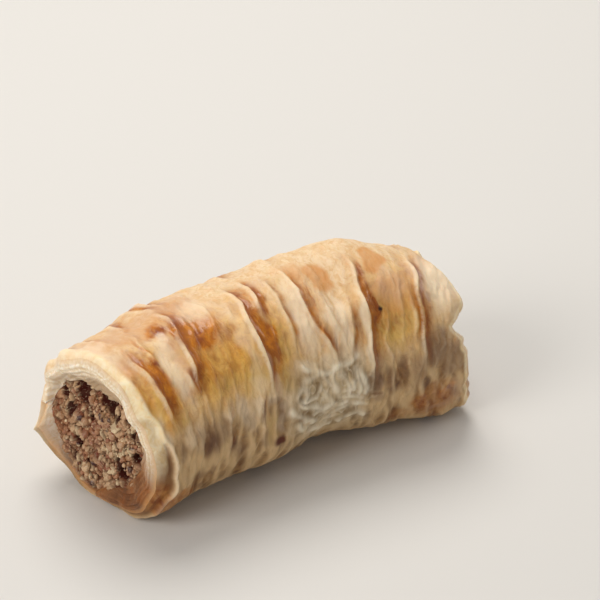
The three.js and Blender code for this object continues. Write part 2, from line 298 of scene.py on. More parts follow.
# path, height, stain and spread
PLEATS = [
    pleat([(24, 0.07), (45, 0.062), (60, 0.053), (82, 0.05)], 1.0, 1.0, 1.9),
    pleat([(34, 0.158), (42, 0.153), (52, 0.152)], 0.5, 0.8, 0.8),
    pleat([(30, 0.178), (45, 0.176), (62, 0.183), (84, 0.2), (104, 0.205)], 0.8, 0.9, 2.6),
    pleat([(58, 0.1), (75, 0.1), (100, 0.105)], 0.4, 0.3, 1.0),
    pleat([(60, 0.228), (78, 0.232), (96, 0.24)], 0.3, 0.4, 1.4),
    pleat([(-12, 0.236), (5, 0.234), (24, 0.235)], 0.45, 0.3, 1.2),
    pleat([(-14, 0.345), (4, 0.34), (26, 0.335)], 0.6, 0.4, 0.9),
    pleat([(36, 0.295), (60, 0.29), (96, 0.3)], 0.35, 0.3, 1.2),
    pleat([(30, 0.35), (55, 0.345), (90, 0.352)], 0.35, 0.25, 1.2),
    pleat([(14, 0.378), (30, 0.372), (60, 0.373), (90, 0.384), (100, 0.392)], 1.05, 1.0, 2.2, rise=1.3),
    pleat([(58, 0.424), (72, 0.423), (90, 0.43), (104, 0.44)], 0.75, 0.8, 0.7),
    pleat([(30, 0.48), (50, 0.482), (96, 0.478)], 0.5, 0.5, 0.9),
    pleat([(20, 0.598), (34, 0.572), (48, 0.55), (66, 0.538), (96, 0.537)], 0.95, 0.75, 1.3),
    pleat([(24, 0.638), (34, 0.62), (52, 0.603), (68, 0.6)], 0.5, 0.25, 0.8),
    pleat([(22, 0.632), (36, 0.645), (58, 0.658)], 0.6, 0.7, 0.9),
    pleat([(2, 0.694), (20, 0.693), (45, 0.698), (72, 0.703), (84, 0.712)], 1.15, 1.0, 1.2, rise=1.1),
    pleat([(-8, 0.758), (8, 0.757), (22, 0.76)], 0.3, 0.2, 1.0),
    pleat([(22, 0.795), (38, 0.8), (58, 0.806)], 0.35, 0.35, 0.9),
    pleat([(26, 0.835), (44, 0.835), (66, 0.842)], 0.45, 0.6, 0.8),
    pleat([(12, 0.86), (32, 0.857), (50, 0.86), (76, 0.872), (92, 0.875)], 0.9, 0.85, 1.0),
]
print("pleats written down:", len(PLEATS))

# %% [markdown]
# ## From the list to relief
# Each point of the grid is told how far it lies past each crest. It climbs before the crest, drops
# behind it and leans over a little, and the same distance says where syrup and dry edges go. The dry
# edges along the crests are paler, partly as a painted highlight.

# %% Where each pleat runs
def pleat_lines(fold, number):
    """For every column: the crest's share, and how strongly the fold stands, fading to its ends."""
    ring = roll_space(0.13 * number, angles)
    path_angles, path_shares = np.array(sorted(fold["path"])).T
    middle = (path_angles[0] + path_angles[-1]) / 2
    half = (path_angles[-1] - path_angles[0]) / 2
    turn = turn_between(angles, middle)
    crest = np.interp(turn + middle, path_angles, path_shares)
    crest = crest + as_share(0.25 * noise(ring / 3.5) + 0.1 * noise(ring / 1.2))
    uneven = 1 + 0.55 * noise(ring / 4.5 + 9.0)
    return crest, uneven * (1 - smooth_step(0.4, 1.3, np.abs(turn) / half))


# %% Lay the pleats over the form
wander = 0.4 * grain(space, 30.0, 4.0, offset=7.3)


def lay_pleats(folds, share):
    """The height and lean of the folds in mm, how stained and creased they leave the skin, and the dried
    crests' painted highlight.
    """
    height, lean, stain, crease, dry_and_highlit = (np.zeros(share.shape) for _ in range(5))
    for number, fold in enumerate(folds):
        crest, ends = pleat_lines(fold, number)
        past = as_mm(share - crest) + wander
        climb = np.exp(np.minimum(past, 0) / fold["rise"])
        drop = np.exp(-np.maximum(past, 0) / FALL)
        height += 0.78 * fold["height"] * ends * climb * drop
        lean += FOLD_OVER * fold["height"] * ends * bell(past, 0.45)
        behind = np.exp(-np.maximum(past - 0.9, 0) / fold["spread"]) * smooth_step(-0.1, 0.7, past)
        stain = np.maximum(stain, fold["stain"] * ends * behind)
        crease = np.maximum(crease, fold["stain"] ** 2 * ends * bell(past - 0.85, 0.6))
        # a pale line along each crest: dry pastry, and partly a painted highlight
        dry_and_highlit = np.maximum(dry_and_highlit, ends * bell(past + 0.22, 0.32) * min(1, fold["height"]))
    return height, lean, stain, crease, dry_and_highlit


def drawn_pleats(draw, count, middle, half, heights, stains, rise=1.4):
    """Pleats at random places, with their values drawn between the limits that are given."""
    made = []
    for k in range(count):
        centre, reach = draw.uniform(*middle), draw.uniform(*half)
        at = (k + draw.uniform(0.1, 0.9)) / count
        bow, slant = draw.uniform(-0.012, 0.012), draw.uniform(-0.006, 0.018)
        path = [(centre - reach, at - bow - slant), (centre, at + bow), (centre + reach, at - bow + slant)]
        made.append(pleat(path, draw.uniform(*heights), draw.uniform(*stains), 1.2, rise))
    return made


pleat_draw = np.random.default_rng(5)
SMALL_PLEATS = drawn_pleats(pleat_draw, 46, (30, 85), (18, 40), (0.08, 0.3), (0.0, 0.3), rise=0.8)
print("pleats that show:", len(PLEATS) + len(SMALL_PLEATS))

# %% [markdown]
# ## Pleats at the back
# The back and the underside of the roll are gathered in the same way. Nobody looks for one
# certain fold there, so a seeded draw stands in for the list, and every run gives the same roll.

# %% The pleats behind
BACK_PLEATS = drawn_pleats(pleat_draw, 26, (140, 200), (32, 60), (0.35, 0.95), (0.3, 1.0))
LOW_PLEATS = drawn_pleats(pleat_draw, 22, (215, 285), (16, 34), (0.15, 0.4), (0.1, 0.5))
height, lean, stain, crease, dry_and_highlit = lay_pleats(PLEATS + SMALL_PLEATS + BACK_PLEATS + LOW_PLEATS, share)
print("the highest fold stands", height.max().round(2), "mm")

# %% [markdown]
# ## Crinkles
# Between the pleats the skin is crinkled, mostly round the roll. Noise with long cells, folded up
# at zero, gives soft rounds that meet in small creases. Low lumps come from the nuts that press
# from inside. A bump map could fake this much, but real relief also shows at the outline.

# %% Crinkle the skin
def shifted(space, amount, cell, offset):
    """Points moved about by noise, so that what is read there is bent."""
    moves = [amount * noise(space / cell + offset + 17.0 * k) for k in range(3)]
    return space + np.stack(moves, axis=-1)


def folded(waves, rounding):
    """Waves folded up at zero, so that soft rounds meet in creases that are not quite sharp."""
    return np.sqrt(waves**2 + rounding**2) - rounding


bent = shifted(shifted(space, 1.0, 8.0, 2.2), 0.45, 1.8, 25.0)
crinkle = folded(grain(bent, 1.5, 7.5, offset=4.1), 0.07)
fine_crinkle = folded(grain(bent, 0.8, 2.8, offset=8.7), 0.14)
pucker = grain(bent, 0.9, 1.6, offset=6.2)
lumps = grain(space, 4.5, 4.5, offset=1.7)
print("creases cover", round(100 * float((crinkle < 0.05).mean())), "percent of the skin")

# %% [markdown]
# ## The net of wrinkles
# In one place at the front the top sheet has slipped, and lies loose in a net of small curly
# wrinkles. The larger ones are drawn as lines with soft corners. A few faint ones between them
# are the places where a bent noise passes through zero.

# %% The lines of the net
# each line as (share, angle) points
NET_LINES = [
    [(0.454, 11), (0.477, 17), (0.508, 19), (0.554, 19), (0.592, 22), (0.638, 24)],
    [(0.585, 21), (0.565, 17), (0.573, 10), (0.58, 2), (0.608, -3), (0.638, -4), (0.66, -7)],
    [(0.592, 15), (0.615, 13), (0.623, 6), (0.615, -1)],
    [(0.53, 13), (0.523, 7), (0.5, 4), (0.469, 7)],
    [(0.454, 11), (0.46, 4), (0.485, -1), (0.53, -4), (0.554, -12)],
    [(0.538, -12), (0.569, -9), (0.608, -7)],
    [(0.492, 26), (0.523, 22), (0.538, 15), (0.56, 11)],
    [(0.646, 18), (0.654, 7), (0.646, -4)],
    [(0.43, 2), (0.46, -7), (0.492, -12), (0.523, -18)],
    [(0.477, 16), (0.492, 10), (0.477, 7)],
    [(0.6, 4), (0.635, 1), (0.64, 9)],
    [(0.545, 5), (0.555, -2), (0.575, -6)],
    [(0.5, -16), (0.54, -20), (0.58, -19)],
    [(0.56, -22), (0.57, -13), (0.62, -9), (0.665, -13)],
    [(0.6, -27), (0.625, -20), (0.65, -18), (0.67, -22)],
    [(0.455, -12), (0.49, -20), (0.53, -26), (0.57, -27)],
    [(0.51, -9), (0.545, -6), (0.58, -5)],
    [(0.655, 16), (0.67, 6), (0.665, -3)],
]
NET_WIDTH = 0.55  # mm to each side
print("lines in the net:", len(NET_LINES))


# %% Soften a line, and measure the distance from it
def rounded(corners):
    """Cuts every inner corner of a line twice, so that it bends softly."""
    for _ in range(2):
        softer = [corners[0]]
        for (x0, y0), (x1, y1) in zip(corners, corners[1:]):
            softer += [((1 - t) * x0 + t * x1, (1 - t) * y0 + t * y1) for t in (0.25, 0.75)]
        corners = [*softer, corners[-1]]
    return corners


def from_line(line, along, around):
    """Distance in mm from a line of (share, angle) points, at points given in mm."""
    corners = rounded([(as_mm(at), math.radians(turn) * SECTION_RADIUS) for at, turn in line])
    nearest = np.full(along.shape, np.inf)
    for (x0, y0), (x1, y1) in zip(corners, corners[1:]):
        length = (x1 - x0) ** 2 + (y1 - y0) ** 2
        part = np.clip(((along - x0) * (x1 - x0) + (around - y0) * (y1 - y0)) / length, 0, 1)
        away = np.hypot(along - x0 - part * (x1 - x0), around - y0 - part * (y1 - y0))
        nearest = np.minimum(nearest, away)
    return nearest


# %% Lay the net
NET_SHARE = 0.56
haze = plateau(share - NET_SHARE, 0.135) * plateau(turn_between(angle, -5), 33)
net_area = plateau(share - NET_SHARE, 0.125) * plateau(turn_between(angle, 0), 29)
curly = shifted(space, 0.6, 2.6, 6.1)
curly_turn = np.arctan2(curly[..., 2], curly[..., 1]) * SECTION_RADIUS
net = np.zeros(share.shape)
for line in NET_LINES:
    net = np.maximum(net, bell(from_line(line, curly[..., 0], curly_turn), NET_WIDTH))
faint = bell(grain(shifted(space, 1.4, 3.0, 40.0), 2.2, 3.0, offset=12.4), 0.09) * net_area
net = np.clip(np.maximum(net, 0.65 * faint) * (0.75 + 0.7 * noise(space / 1.8 + 31.0)), 0, 1)
print("the net covers", round(100 * float((net > 0.3).mean()), 1), "percent of the skin")

# %% [markdown]
# ## Thin sides
# Low at the front and at the back there are fewer sheets over the nuts. They let the dark filling
# show through, and a veil of paler streaks lies over them where the sheets rise off it.

# %% Veil the thin sides
low_front = 1 - smooth_step(6, 30, angle + 5 * grain(space, 4.0, 4.0, offset=14.0))
low_back = smooth_step(185, 215, angle + 8 * grain(space, 5.0, 5.0, offset=15.0))
thin = np.clip(low_front + low_back, 0, 1)
veil = bell(grain(shifted(space, 0.8, 4.0, 44.0), 2.4, 8.0, offset=2.4), 0.4)
fine_veil = bell(grain(shifted(space, 0.9, 3.0, 52.0), 1.3, 4.5, offset=3.3), 0.2)
fine_veil = fine_veil * (0.5 + 0.5 * noise(space / 3.0 + 8.0))
veil = np.clip(veil + 0.4 * fine_veil, 0, 1) * (0.25 + 0.75 * thin) * (1 - net_area)
height += 0.14 * veil
print("thin sides cover", round(100 * float((thin > 0.5).mean())), "percent of the skin")

# %% [markdown]
# ## Swellings
# Here and there the whole skin bulges or sinks by up to a millimetre, and one upright flake stands
# on top near the far end. Each is a soft bump at its own place, added before the crinkles.

# %% Swell and crinkle the skin
# share, angle, rise in mm, reach in mm along the roll and in degrees round it
SWELLINGS = [
    (0.6, 106, 0.5, 8.0, 22), (0.46, -34, 0.4, 6.0, 16), (0.14, 108, -1.0, 4.0, 20),
    (0.84, -42, 0.7, 8.0, 16), (0.02, 168, 0.9, 4.0, 20), (0.02, 222, 0.7, 4.0, 16),
    (0.05, 122, -0.3, 3.0, 14), (0.78, 108, 0.5, 6.0, 18),
    (0.925, 102, 1.0, 0.45, 4.0),  # the upright flake
    (0.47, 112, -0.3, 3.0, 14),
]
for at, middle, rise, along, around in SWELLINGS:
    height += rise * bell(as_mm(share - at), along) * bell(turn_between(angle, middle), around)
on_top = smooth_step(70, 95, angle) * (1 - smooth_step(120, 150, angle))
calm = 1 - 0.55 * on_top * smooth_step(0.3, 0.5, share)
height += calm * (0.26 * crinkle + 0.13 * fine_crinkle + 0.07 * pucker) + 0.3 * lumps + 0.36 * net - 0.12
print("relief spans", height.min().round(2), "to", height.max().round(2), "mm")

# %% [markdown]
# ## Bare layers at the ends
# The outermost sheet stops short of both cuts at the front, and the layer below shows, a step lower.
# The edge of the upper sheet curls up a little and is dry and pale; the paleness is partly a painted
# highlight.

# %% Step down to the layer below
def sheet_edge(reach, middle, spread, ragged):
    """How far in from a cut the upper sheet's edge lies, in mm, for each point."""
    line = reach * bell(turn_between(angle, middle), spread)
    return line + ragged * grain(space, 30.0, 3.0, offset=5.5) * smooth_step(0.2, 1.0, line)


past_near_edge = from_near_cut - sheet_edge(2.9, -8, 40, 0.4)
past_far_edge = from_far_cut - sheet_edge(6.6, -2, 32, 0.5)
bare_near = 1 - smooth_step(-0.35, 0.0, past_near_edge)
bare_far = 1 - smooth_step(-0.8, 0.0, past_far_edge)
edge_curl = bell(past_near_edge - 0.2, 0.35) * bell(turn_between(angle, -8), 44)
height += 0.35 * edge_curl - 0.6 * bare_near - 0.2 * bare_far
# the curled edge is pale too: dry, and partly a painted highlight
dry_and_highlit = np.maximum(dry_and_highlit * (1 - bare_near), 0.8 * edge_curl)
print("the layer below shows on", round(100 * float(bare_near.mean()), 1), "percent of the skin")

# %% [markdown]
# ## Peaks and hollows
# Peaks dry out in the oven and hollows hold syrup, so the colours need to know which is which.
# The colours also lay a painted highlight on the peaks and painted shade in the hollows.
# The skin is compared with a softened copy of itself, once coarsely and once finely.

# %% Find the peaks
def peaks_of(height, along, around, reach):
    """Where the skin stands above its surroundings: -1 deep in hollows, 1 high on peaks, full at the reach.
    """
    return np.clip((height - soften(height, along, around)) / reach, -1, 1)


# paler on peaks and darker in hollows: dried and soaked pastry, and partly painted highlight and painted
# shade
dry_and_lit_peak = 0.7 * peaks_of(height, 40, 8, 0.35) + 0.3 * peaks_of(height, 8, 3, 0.14)
print("peaks cover", round(100 * float((dry_and_lit_peak > 0.3).mean())), "percent of the skin")

# %% [markdown]
# ## The cut ends
# The knife squeezes the layers into a rounded lip. From the skin the surface turns over this lip and
# slopes in to the nuts, with a groove between every few sheets. The hole is not in the middle:
# the wall is thick on top, where the roll was closed, and thin at the back and below.

# %% Round the skin over at the cuts
LIP_ROWS = 34
BORE_ROWS = 10
LIP_ROUND = 0.8  # mm
LIP_CREST = 1.2  # mm in from the skin
LEAST_WALL = 0.6  # mm
# the radius of the hole in mm, at these angles round it, and how deep in the nuts lie there
HOLE_ANGLES = [-90, -52, -25, 0, 20, 36, 61, 95, 138, 163, 186, 201, 226, 250, 270]
NEAR_HOLE = [9.8, 8.5, 7.8, 7.7, 7.3, 6.2, 5.1, 4.8, 7.2, 11.0, 12.6, 13.4, 14.0, 12.6, 9.8]
NEAR_DEPTH = [0.4, 0.6, 0.9, 1.2, 1.6, 2.0, 2.5, 2.6, 2.3, 1.4, 0.6, 0.2, 0.1, 0.2, 0.4]
FAR_HOLE = [8.4, 8.2, 8.0, 8.0, 7.8, 7.4, 6.8, 6.6, 7.6, 8.8, 9.4, 9.4, 9.2, 8.8, 8.4]
FAR_DEPTH = [0.8, 0.8, 0.8, 0.9, 1.0, 1.2, 1.6, 1.8, 1.6, 1.2, 1.0, 0.8, 0.8, 0.8, 0.8]
HOLE = {0: (NEAR_HOLE, NEAR_DEPTH), 1: (FAR_HOLE, FAR_DEPTH)}
# a corner of the outermost sheet that stands out beyond the near cut
CORNER_ANGLE, CORNER_ABOVE, CORNER_BELOW, CORNER_LENGTH = 198, 7, 24, 2.9

height -= LIP_ROUND * np.exp(-np.maximum(np.minimum(from_near_cut, from_far_cut), 0) / 0.6)
height -= 0.35 * bell(from_near_cut - 2.1, 0.6) * bell(turn_between(angle, 40), 60)
# pale bands along both cut edges: dry edges, brightened further with a painted highlight
lip_reach = 0.6 + 0.8 * bell(turn_between(angle, 15), 35)
rolled_lip = 1 - smooth_step(lip_reach, lip_reach + 0.7, from_near_cut)
rolled_lip = rolled_lip * bell(turn_between(angle, 50), 75) * smooth_step(-20, 10, angle)
far_rim = 0.85 * (1 - smooth_step(0.3, 0.9, from_far_cut))
rim = np.maximum(rolled_lip, far_rim)
skin_radius_grid = form + height * MM
past_corner = turn_between(angles, CORNER_ANGLE)
corner = CORNER_LENGTH * np.exp(-np.abs(past_corner) / np.where(past_corner < 0, CORNER_ABOVE, CORNER_BELOW))
skin_share = share + as_share(lean) - as_share(corner) * bell(from_near_cut, 3.0)
print("the pastry's corner stands out by", corner.max().round(1), "mm")

# %% [markdown]
# ## The faces of the cuts
# Rows of points run on from the skin, over the lip and across the cut, as the sheets do when they
# are cut through. A wave across the rows draws the edges of the sheets, and noise roughens them.

# %% Slope the lips into the hole
lip_part = np.linspace(0, 1, LIP_ROWS + 1)[1:, None] ** 1.3


def hole(end):
    """The hole's radius and the depth of the nuts in mm, for every column."""
    radius, depth = (np.interp(angles, HOLE_ANGLES, values)[None, :] for values in HOLE[end])
    skin = skin_radius_grid[-1] if end else skin_radius_grid[0]
    return np.minimum(soften(radius, 0, 60)[0], skin / MM - LEAST_WALL), soften(depth, 0, 60)[0]


def lip(end):
    """Radius and share of the cut's rows, how far across the wall each lies, and where the grooves are."""
    outwards = 1 if end else -1
    edge = skin_radius_grid[-1] if end else skin_radius_grid[0]
    hole_radius, depth = hole(end)
    inner = hole_radius * MM * (1 + 0.04 * noise(roll_space(np.full(COLUMNS, 3.0 + end), angles) / 3.0))
    radius = edge + (inner - edge) * lip_part
    wall = (soften(edge[None, :], 0, 16)[0] - inner) / MM
    across = wall * lip_part
    lip_space = roll_space(np.full(radius.shape, 5.0 + 2 * end), np.broadcast_to(angles, radius.shape))
    lip_space[..., 0] += across
    turns = across / 0.8 + (angles + 60) / 360 + 0.3 * noise(lip_space / 3.0)
    layers = 0.16 * np.cos(2 * np.pi * turns) * (1 - 0.8 * bell(turn_between(angles, 185), 50))
    rough = 0.22 * grain(lip_space, 0.9, 7.0, offset=3.0) + 0.2 * grain(lip_space, 2.4, 4.0, offset=6.0)
    rising = 0.5 * np.clip(1 - across / LIP_CREST, 0, 1) ** 2
    sloping = (depth + 0.4) * smooth_step(LIP_CREST, wall, across) ** 0.8
    settled = smooth_step(0.3, 1.2, across)
    out = 0.5 - rising - sloping + (layers + rough) * settled
    out = out + (0 if end else corner * bell(across, 0.7))
    groove = smooth_step(0.2, 1.0, -layers / 0.16) * settled
    return radius, cut[end] + as_share(out) * outwards, across, as_mm(cut[end]) + across * outwards, groove


near_radius, near_share, near_across, near_along, near_groove = lip(0)
far_radius, far_share, far_across, far_along, far_groove = lip(1)
print("the near wall is", near_across[-1].min().round(1), "to", near_across[-1].max().round(1), "mm thick")

# %% [markdown]
# ## One closed tube
# The rows of the skin, the far lip, the bore and the near lip are stacked into one grid. A tube
# that closes on itself has no open edge, so it has a true inside. What would lie below the floor
# is pressed flat on it.

# %% Join skin, lips and bore
bore_part = np.linspace(1, 0, BORE_ROWS + 2)[1:-1, None]
bore_radius_grid = near_radius[-1] + (far_radius[-1] - near_radius[-1]) * bore_part
bore_share = near_share[-1] + (far_share[-1] - near_share[-1]) * bore_part

all_radius = np.concatenate([skin_radius_grid, far_radius, bore_radius_grid, near_radius[::-1]])
all_share = np.concatenate([skin_share, far_share, bore_share, near_share[::-1]])
all_angle = np.broadcast_to(angles, all_radius.shape)
points = place(all_share, all_angle, all_radius)
points[..., 2] = np.maximum(points[..., 2], 0)
print("pastry grid:", points.shape[0], "rows of", points.shape[1])

# %% [markdown]
# ## Patches of colour
# The oven and the syrup colour the pastry unevenly, and a few weak tan patches on top in the first
# quarter of the roll are painted shade. An image could be painted by hand for this.
# Here each patch is written down with its middle, its half size in mm along the roll and in
# degrees round it, and its strength, so that it stays sharp and can be moved. Noise bends the
# outlines, so that none is an ellipse.

# %% Patches of syrup and baking, and a little painted shade
# share, angle, half size in mm along the roll and in degrees round it, strength
AMBER_PATCHES = [
    (0.085, 52, 1.6, 17, 1.0), (0.25, 70, 3.4, 12, 1.0), (0.22, 50, 2.2, 12, 0.5), (0.3, 52, 3.6, 17, 0.3),
    (0.16, 83, 1.5, 8, 0.8), (0.403, 52, 1.5, 18, 0.9), (0.4, 76, 1.1, 14, 0.6), (0.56, 60, 1.0, 20, 0.55),
    (0.5, 52, 1.2, 18, 0.3), (0.665, 44, 0.7, 13, 0.4), (0.725, 52, 1.1, 18, 0.9), (0.41, 46, 1.6, 14, 1.0),
    (0.2, 74, 1.2, 12, 1.0), (0.15, 70, 1.4, 6, 0.4), (0.02, -34, 1.6, 12, 0.6), (0.845, 52, 0.8, 13, 0.6),
    (0.88, 52, 0.7, 14, 0.6), (0.06, -36, 4.5, 11, 0.65), (0.035, 60, 1.2, 22, 0.4),
    (0.93, -34, 3.0, 10, 0.5), (0.855, -24, 1.3, 5, 0.9), (0.935, -23, 2.2, 4.5, 1.0),
    (0.24, 100, 2.5, 9, 0.3), (0.77, 44, 2.6, 10, 0.4), (0.1, 80, 0.4, 11, 0.6), (0.055, 74, 0.5, 12, 0.5),
    (0.2, 86, 1.0, 6, 0.5), (0.443, 74, 0.4, 10, 0.8), (0.32, 62, 1.4, 5, 0.4), (0.86, 60, 0.5, 10, 0.5),
    (0.16, 40, 1.0, 5, 0.5),
]
TAN_PATCHES = [
    (0.622, 80, 2.1, 12, 1.0), (0.772, 84, 1.8, 12, 1.0), (0.575, 88, 1.6, 9, 0.45),
    # the weak patches at 96 to 108 degrees in the first quarter of the roll darken the top: painted shade
    (0.79, 60, 3.0, 11, 0.6), (0.83, 58, 1.6, 12, 0.5), (0.12, 96, 3.4, 11, 0.5),
    (0.05, 100, 2.4, 12, 0.45), (0.21, 104, 3.6, 12, 0.5), (0.04, 74, 2.0, 9, 0.5), (0.28, 78, 2.0, 8, 0.4),
    (0.04, 108, 5.0, 14, 0.35), (0.17, 106, 5.0, 16, 0.4), (0.27, 104, 2.6, 12, 0.3),
]
BROWN_PATCHES = [
    (0.398, -17, 0.9, 4.5, 1.0), (0.688, 3, 1.8, 9, 1.0), (0.9, 18, 2.4, 15, 0.75),
    (0.95, 8, 2.2, 18, 0.65), (0.86, 24, 1.2, 9, 0.5), (0.19, 8, 2.4, 8, 0.55), (0.345, 8, 0.7, 8, 0.6),
    (0.25, -6, 0.9, 9, 0.6), (0.13, 8, 1.2, 7, 0.4), (0.38, 13, 0.9, 4, 0.5), (0.84, 4, 2.0, 14, 0.5),
    (0.03, -4, 1.2, 9, 0.5), (0.3, 4, 1.0, 6, 0.4), (0.49, 12, 0.8, 4, 0.5), (0.6, 14, 0.8, 4, 0.5),
    (0.64, 12, 0.8, 6, 0.5), (0.16, 2, 0.9, 7, 0.5), (0.22, 13, 0.9, 6, 0.5), (0.27, -12, 1.2, 6, 0.5),
    (0.35, -12, 0.9, 6, 0.5), (0.75, 0, 1.2, 10, 0.5), (0.79, 8, 0.8, 12, 0.45), (0.08, 6, 1.0, 9, 0.4),
    (0.71, -8, 0.9, 5, 0.6),
]
RUST_PATCHES = [
    (0.9, -28, 4.8, 15, 0.75), (0.85, -25, 1.4, 6, 1.0), (0.93, -27, 1.8, 4, 1.0), (0.89, -18, 1.6, 7, 0.7),
    (0.8, -34, 2.4, 9, 0.5), (0.02, -26, 1.7, 17, 0.85), (0.07, -36, 3.0, 9, 0.5),
]
print("darker patches:", len(AMBER_PATCHES + TAN_PATCHES + BROWN_PATCHES + RUST_PATCHES))

# %% Paler patches, and small dark marks
PALE_PATCHES = [
    (0.13, 54, 1.3, 20, 0.8), (0.345, 50, 0.9, 20, 0.4), (0.373, 42, 0.5, 22, 0.6),
    (0.525, 55, 1.5, 22, 0.8), (0.6, 50, 0.8, 14, 0.7), (0.63, 45, 1.0, 20, 0.8), (0.688, 38, 0.6, 22, 0.9),
    (0.93, 66, 2.8, 20, 0.95), (0.95, 48, 1.4, 8, 0.6), (0.34, 26, 1.6, 6, 0.5), (0.6, 26, 4.0, 6, 0.7),
    (0.29, 88, 2.4, 9, 0.5), (0.14, 12, 0.8, 9, 0.3), (0.29, 12, 1.0, 9, 0.6), (0.42, 8, 1.2, 9, 0.5),
    (0.325, 14, 0.8, 8, 0.6), (0.37, 16, 0.7, 6, 0.5), (0.105, 14, 0.8, 8, 0.4), (0.24, 18, 1.2, 4, 0.4),
    (0.5, 27, 2.0, 5, 0.6), (0.585, 20, 2.6, 6, 0.5), (0.035, 22, 0.7, 12, 0.5), (0.96, -28, 1.8, 13, 0.45),
    (0.02, 112, 1.6, 34, 0.6), (-0.02, 197, 3.0, 16, 1.0), (0.56, -17, 5.5, 9, 0.6),
    (0.39, 20, 0.8, 7, 0.5), (0.31, 4, 0.7, 8, 0.4), (0.275, 16, 0.6, 7, 0.5), (0.91, -35, 3.0, 3, 0.5),
    (0.4, -4, 0.9, 6, 0.3), (0.15, 76, 0.8, 4, 0.6),
]
YELLOW_PATCHES = [
    (0.018, 26, 0.9, 12, 0.8), (0.8, 36, 1.6, 10, 0.5), (0.44, 46, 1.2, 12, 0.4), (0.77, 34, 2.0, 9, 0.8),
    (0.425, 24, 1.6, 8, 0.7), (0.335, 30, 2.6, 9, 0.8), (0.035, 44, 1.2, 14, 0.6), (0.25, 34, 3.0, 6, 0.5),
    (0.11, 70, 0.8, 12, 0.4), (0.08, 26, 1.6, 6, 0.5), (0.945, 47, 1.2, 8, 0.7), (0.37, -6, 1.0, 10, 0.4),
    (0.2, 62, 2.0, 8, 0.3), (0.8, 55, 3.0, 13, 0.45), (0.5, 80, 1.0, 12, 0.3),
]
ROSY_PATCHES = [
    (0.1, 106, 8.0, 18, 0.45), (0.26, 106, 4.0, 16, 0.5), (0.16, 62, 1.2, 15, 0.7), (0.79, 64, 2.6, 9, 0.6),
    (0.03, 78, 2.0, 9, 0.5), (0.23, 86, 2.0, 6, 0.4), (0.86, 74, 1.6, 9, 0.4), (0.47, 90, 1.6, 8, 0.3),
    (0.13, 40, 1.0, 8, 0.5), (0.92, 84, 2.0, 14, 0.5), (0.34, 84, 1.0, 10, 0.3),
]
DARK_MARKS = [
    (0.4, -17, 1.0, 3.8, 1.0), (0.707, -5, 0.9, 1.8, 0.5), (0.345, 10, 0.25, 6, 0.5),
    (0.25, -4, 0.5, 4, 0.4),
]
# the pinprick gets no hole in the mesh, only a dark spot of painted shade
PINHOLE = (0.746, 50.5)  # share and angle of a pinprick in the top sheet
print("paler patches:", len(PALE_PATCHES + YELLOW_PATCHES + ROSY_PATCHES))

# %% Paint the patches
patch_bend = shifted(space, 1.0, 2.6, 21.0)
bent_share = as_share(patch_bend[..., 0])
bent_turn = turn_between(np.degrees(np.arctan2(patch_bend[..., 2], patch_bend[..., 1])), 0)


def paint(patches, soft):
    """Covers the skin with the patches, as a value from 0 to 1."""
    cover = np.zeros(share.shape)
    for at, middle, along, around, strength in patches:
        away = np.hypot(as_mm(bent_share - at) / along, turn_between(bent_turn, middle) / around)
        cover = np.maximum(cover, strength * (1 - smooth_step(1 - soft, 1 + soft, away)))
    return cover


amber = paint(AMBER_PATCHES, 0.55)
tan = paint(TAN_PATCHES, 0.17)
brown, rust = paint(BROWN_PATCHES, 0.5), paint(RUST_PATCHES, 0.5)
pale, yellow, rosy = paint(PALE_PATCHES, 0.6), paint(YELLOW_PATCHES, 0.6), paint(ROSY_PATCHES, 0.6)
mark = paint(DARK_MARKS, 0.35)
# a dark spot of painted shade where a pit would be
pinhole_turn = np.radians(turn_between(angle, PINHOLE[1])) * SECTION_RADIUS
pinhole = 1 - smooth_step(0.26, 0.5, np.hypot(as_mm(share - PINHOLE[0]), pinhole_turn))
GOLDEN_SHARES = [0, 0.1, 0.15, 0.2, 0.38, 0.44, 0.49, 0.68, 0.72, 0.86, 0.91, 1]
GOLDEN_AMOUNT = [0.7, 1, 0.5, 1, 0.9, 0.95, 0.3, 0.2, 0.8, 0.75, 0.3, 0.2]
golden = bell(turn_between(angle, 46), 28) * np.interp(share, GOLDEN_SHARES, GOLDEN_AMOUNT)
blotch = grain(bent, 2.2, 3.0, offset=9.1)
back_stain = 0.6 * smooth_step(0.0, 0.5, blotch) * bell(turn_between(angle, 165), 40)
soaked = np.clip(np.maximum(np.maximum(stain, amber), back_stain), 0, 1) * (1 - 0.6 * thin * (1 - amber))
print("syrup soaks", round(100 * float((soaked > 0.5).mean())), "percent of the skin")

# %% [markdown]
# ## From grid to mesh
# Each cell of the grid becomes a four-sided face. The last row joins the first and the last
# column joins the first, so the pastry is one closed surface. What is known about each point, such
# as how soaked it is, goes into the mesh as named attributes, which the material reads later.

# %% Helpers for meshes
def add_object(name, data):
    made = bpy.data.objects.new(name, data)
    bpy.context.scene.collection.objects.link(made)
    return made


def add_mesh(name, corners, faces, attributes):
    """A smooth mesh, with what is known about each of its points as named attributes."""
    mesh = bpy.data.meshes.new(name)
    mesh.from_pydata(corners, [], faces)
    for title, values in attributes.items():
        kind, field = ("FLOAT", "value") if values.size == len(corners) else ("FLOAT_VECTOR", "vector")
        layer = mesh.attributes.new(title, kind, "POINT")
        layer.data.foreach_set(field, values.astype(np.float32).ravel())
    mesh.shade_smooth()
    return add_object(name, mesh)


def closed_grid(name, points, attributes):
    """A mesh of a grid whose first and last rows and columns join."""
    count, around = points.shape[:2]
    index = np.arange(count * around).reshape(count, around)
    below, right = np.roll(index, -1, axis=0), np.roll(index, -1, axis=1)
    faces = np.stack([index, below, np.roll(below, -1, axis=1), right], axis=-1).reshape(-1, 4)
    return add_mesh(name, points.reshape(-1, 3), faces, attributes)


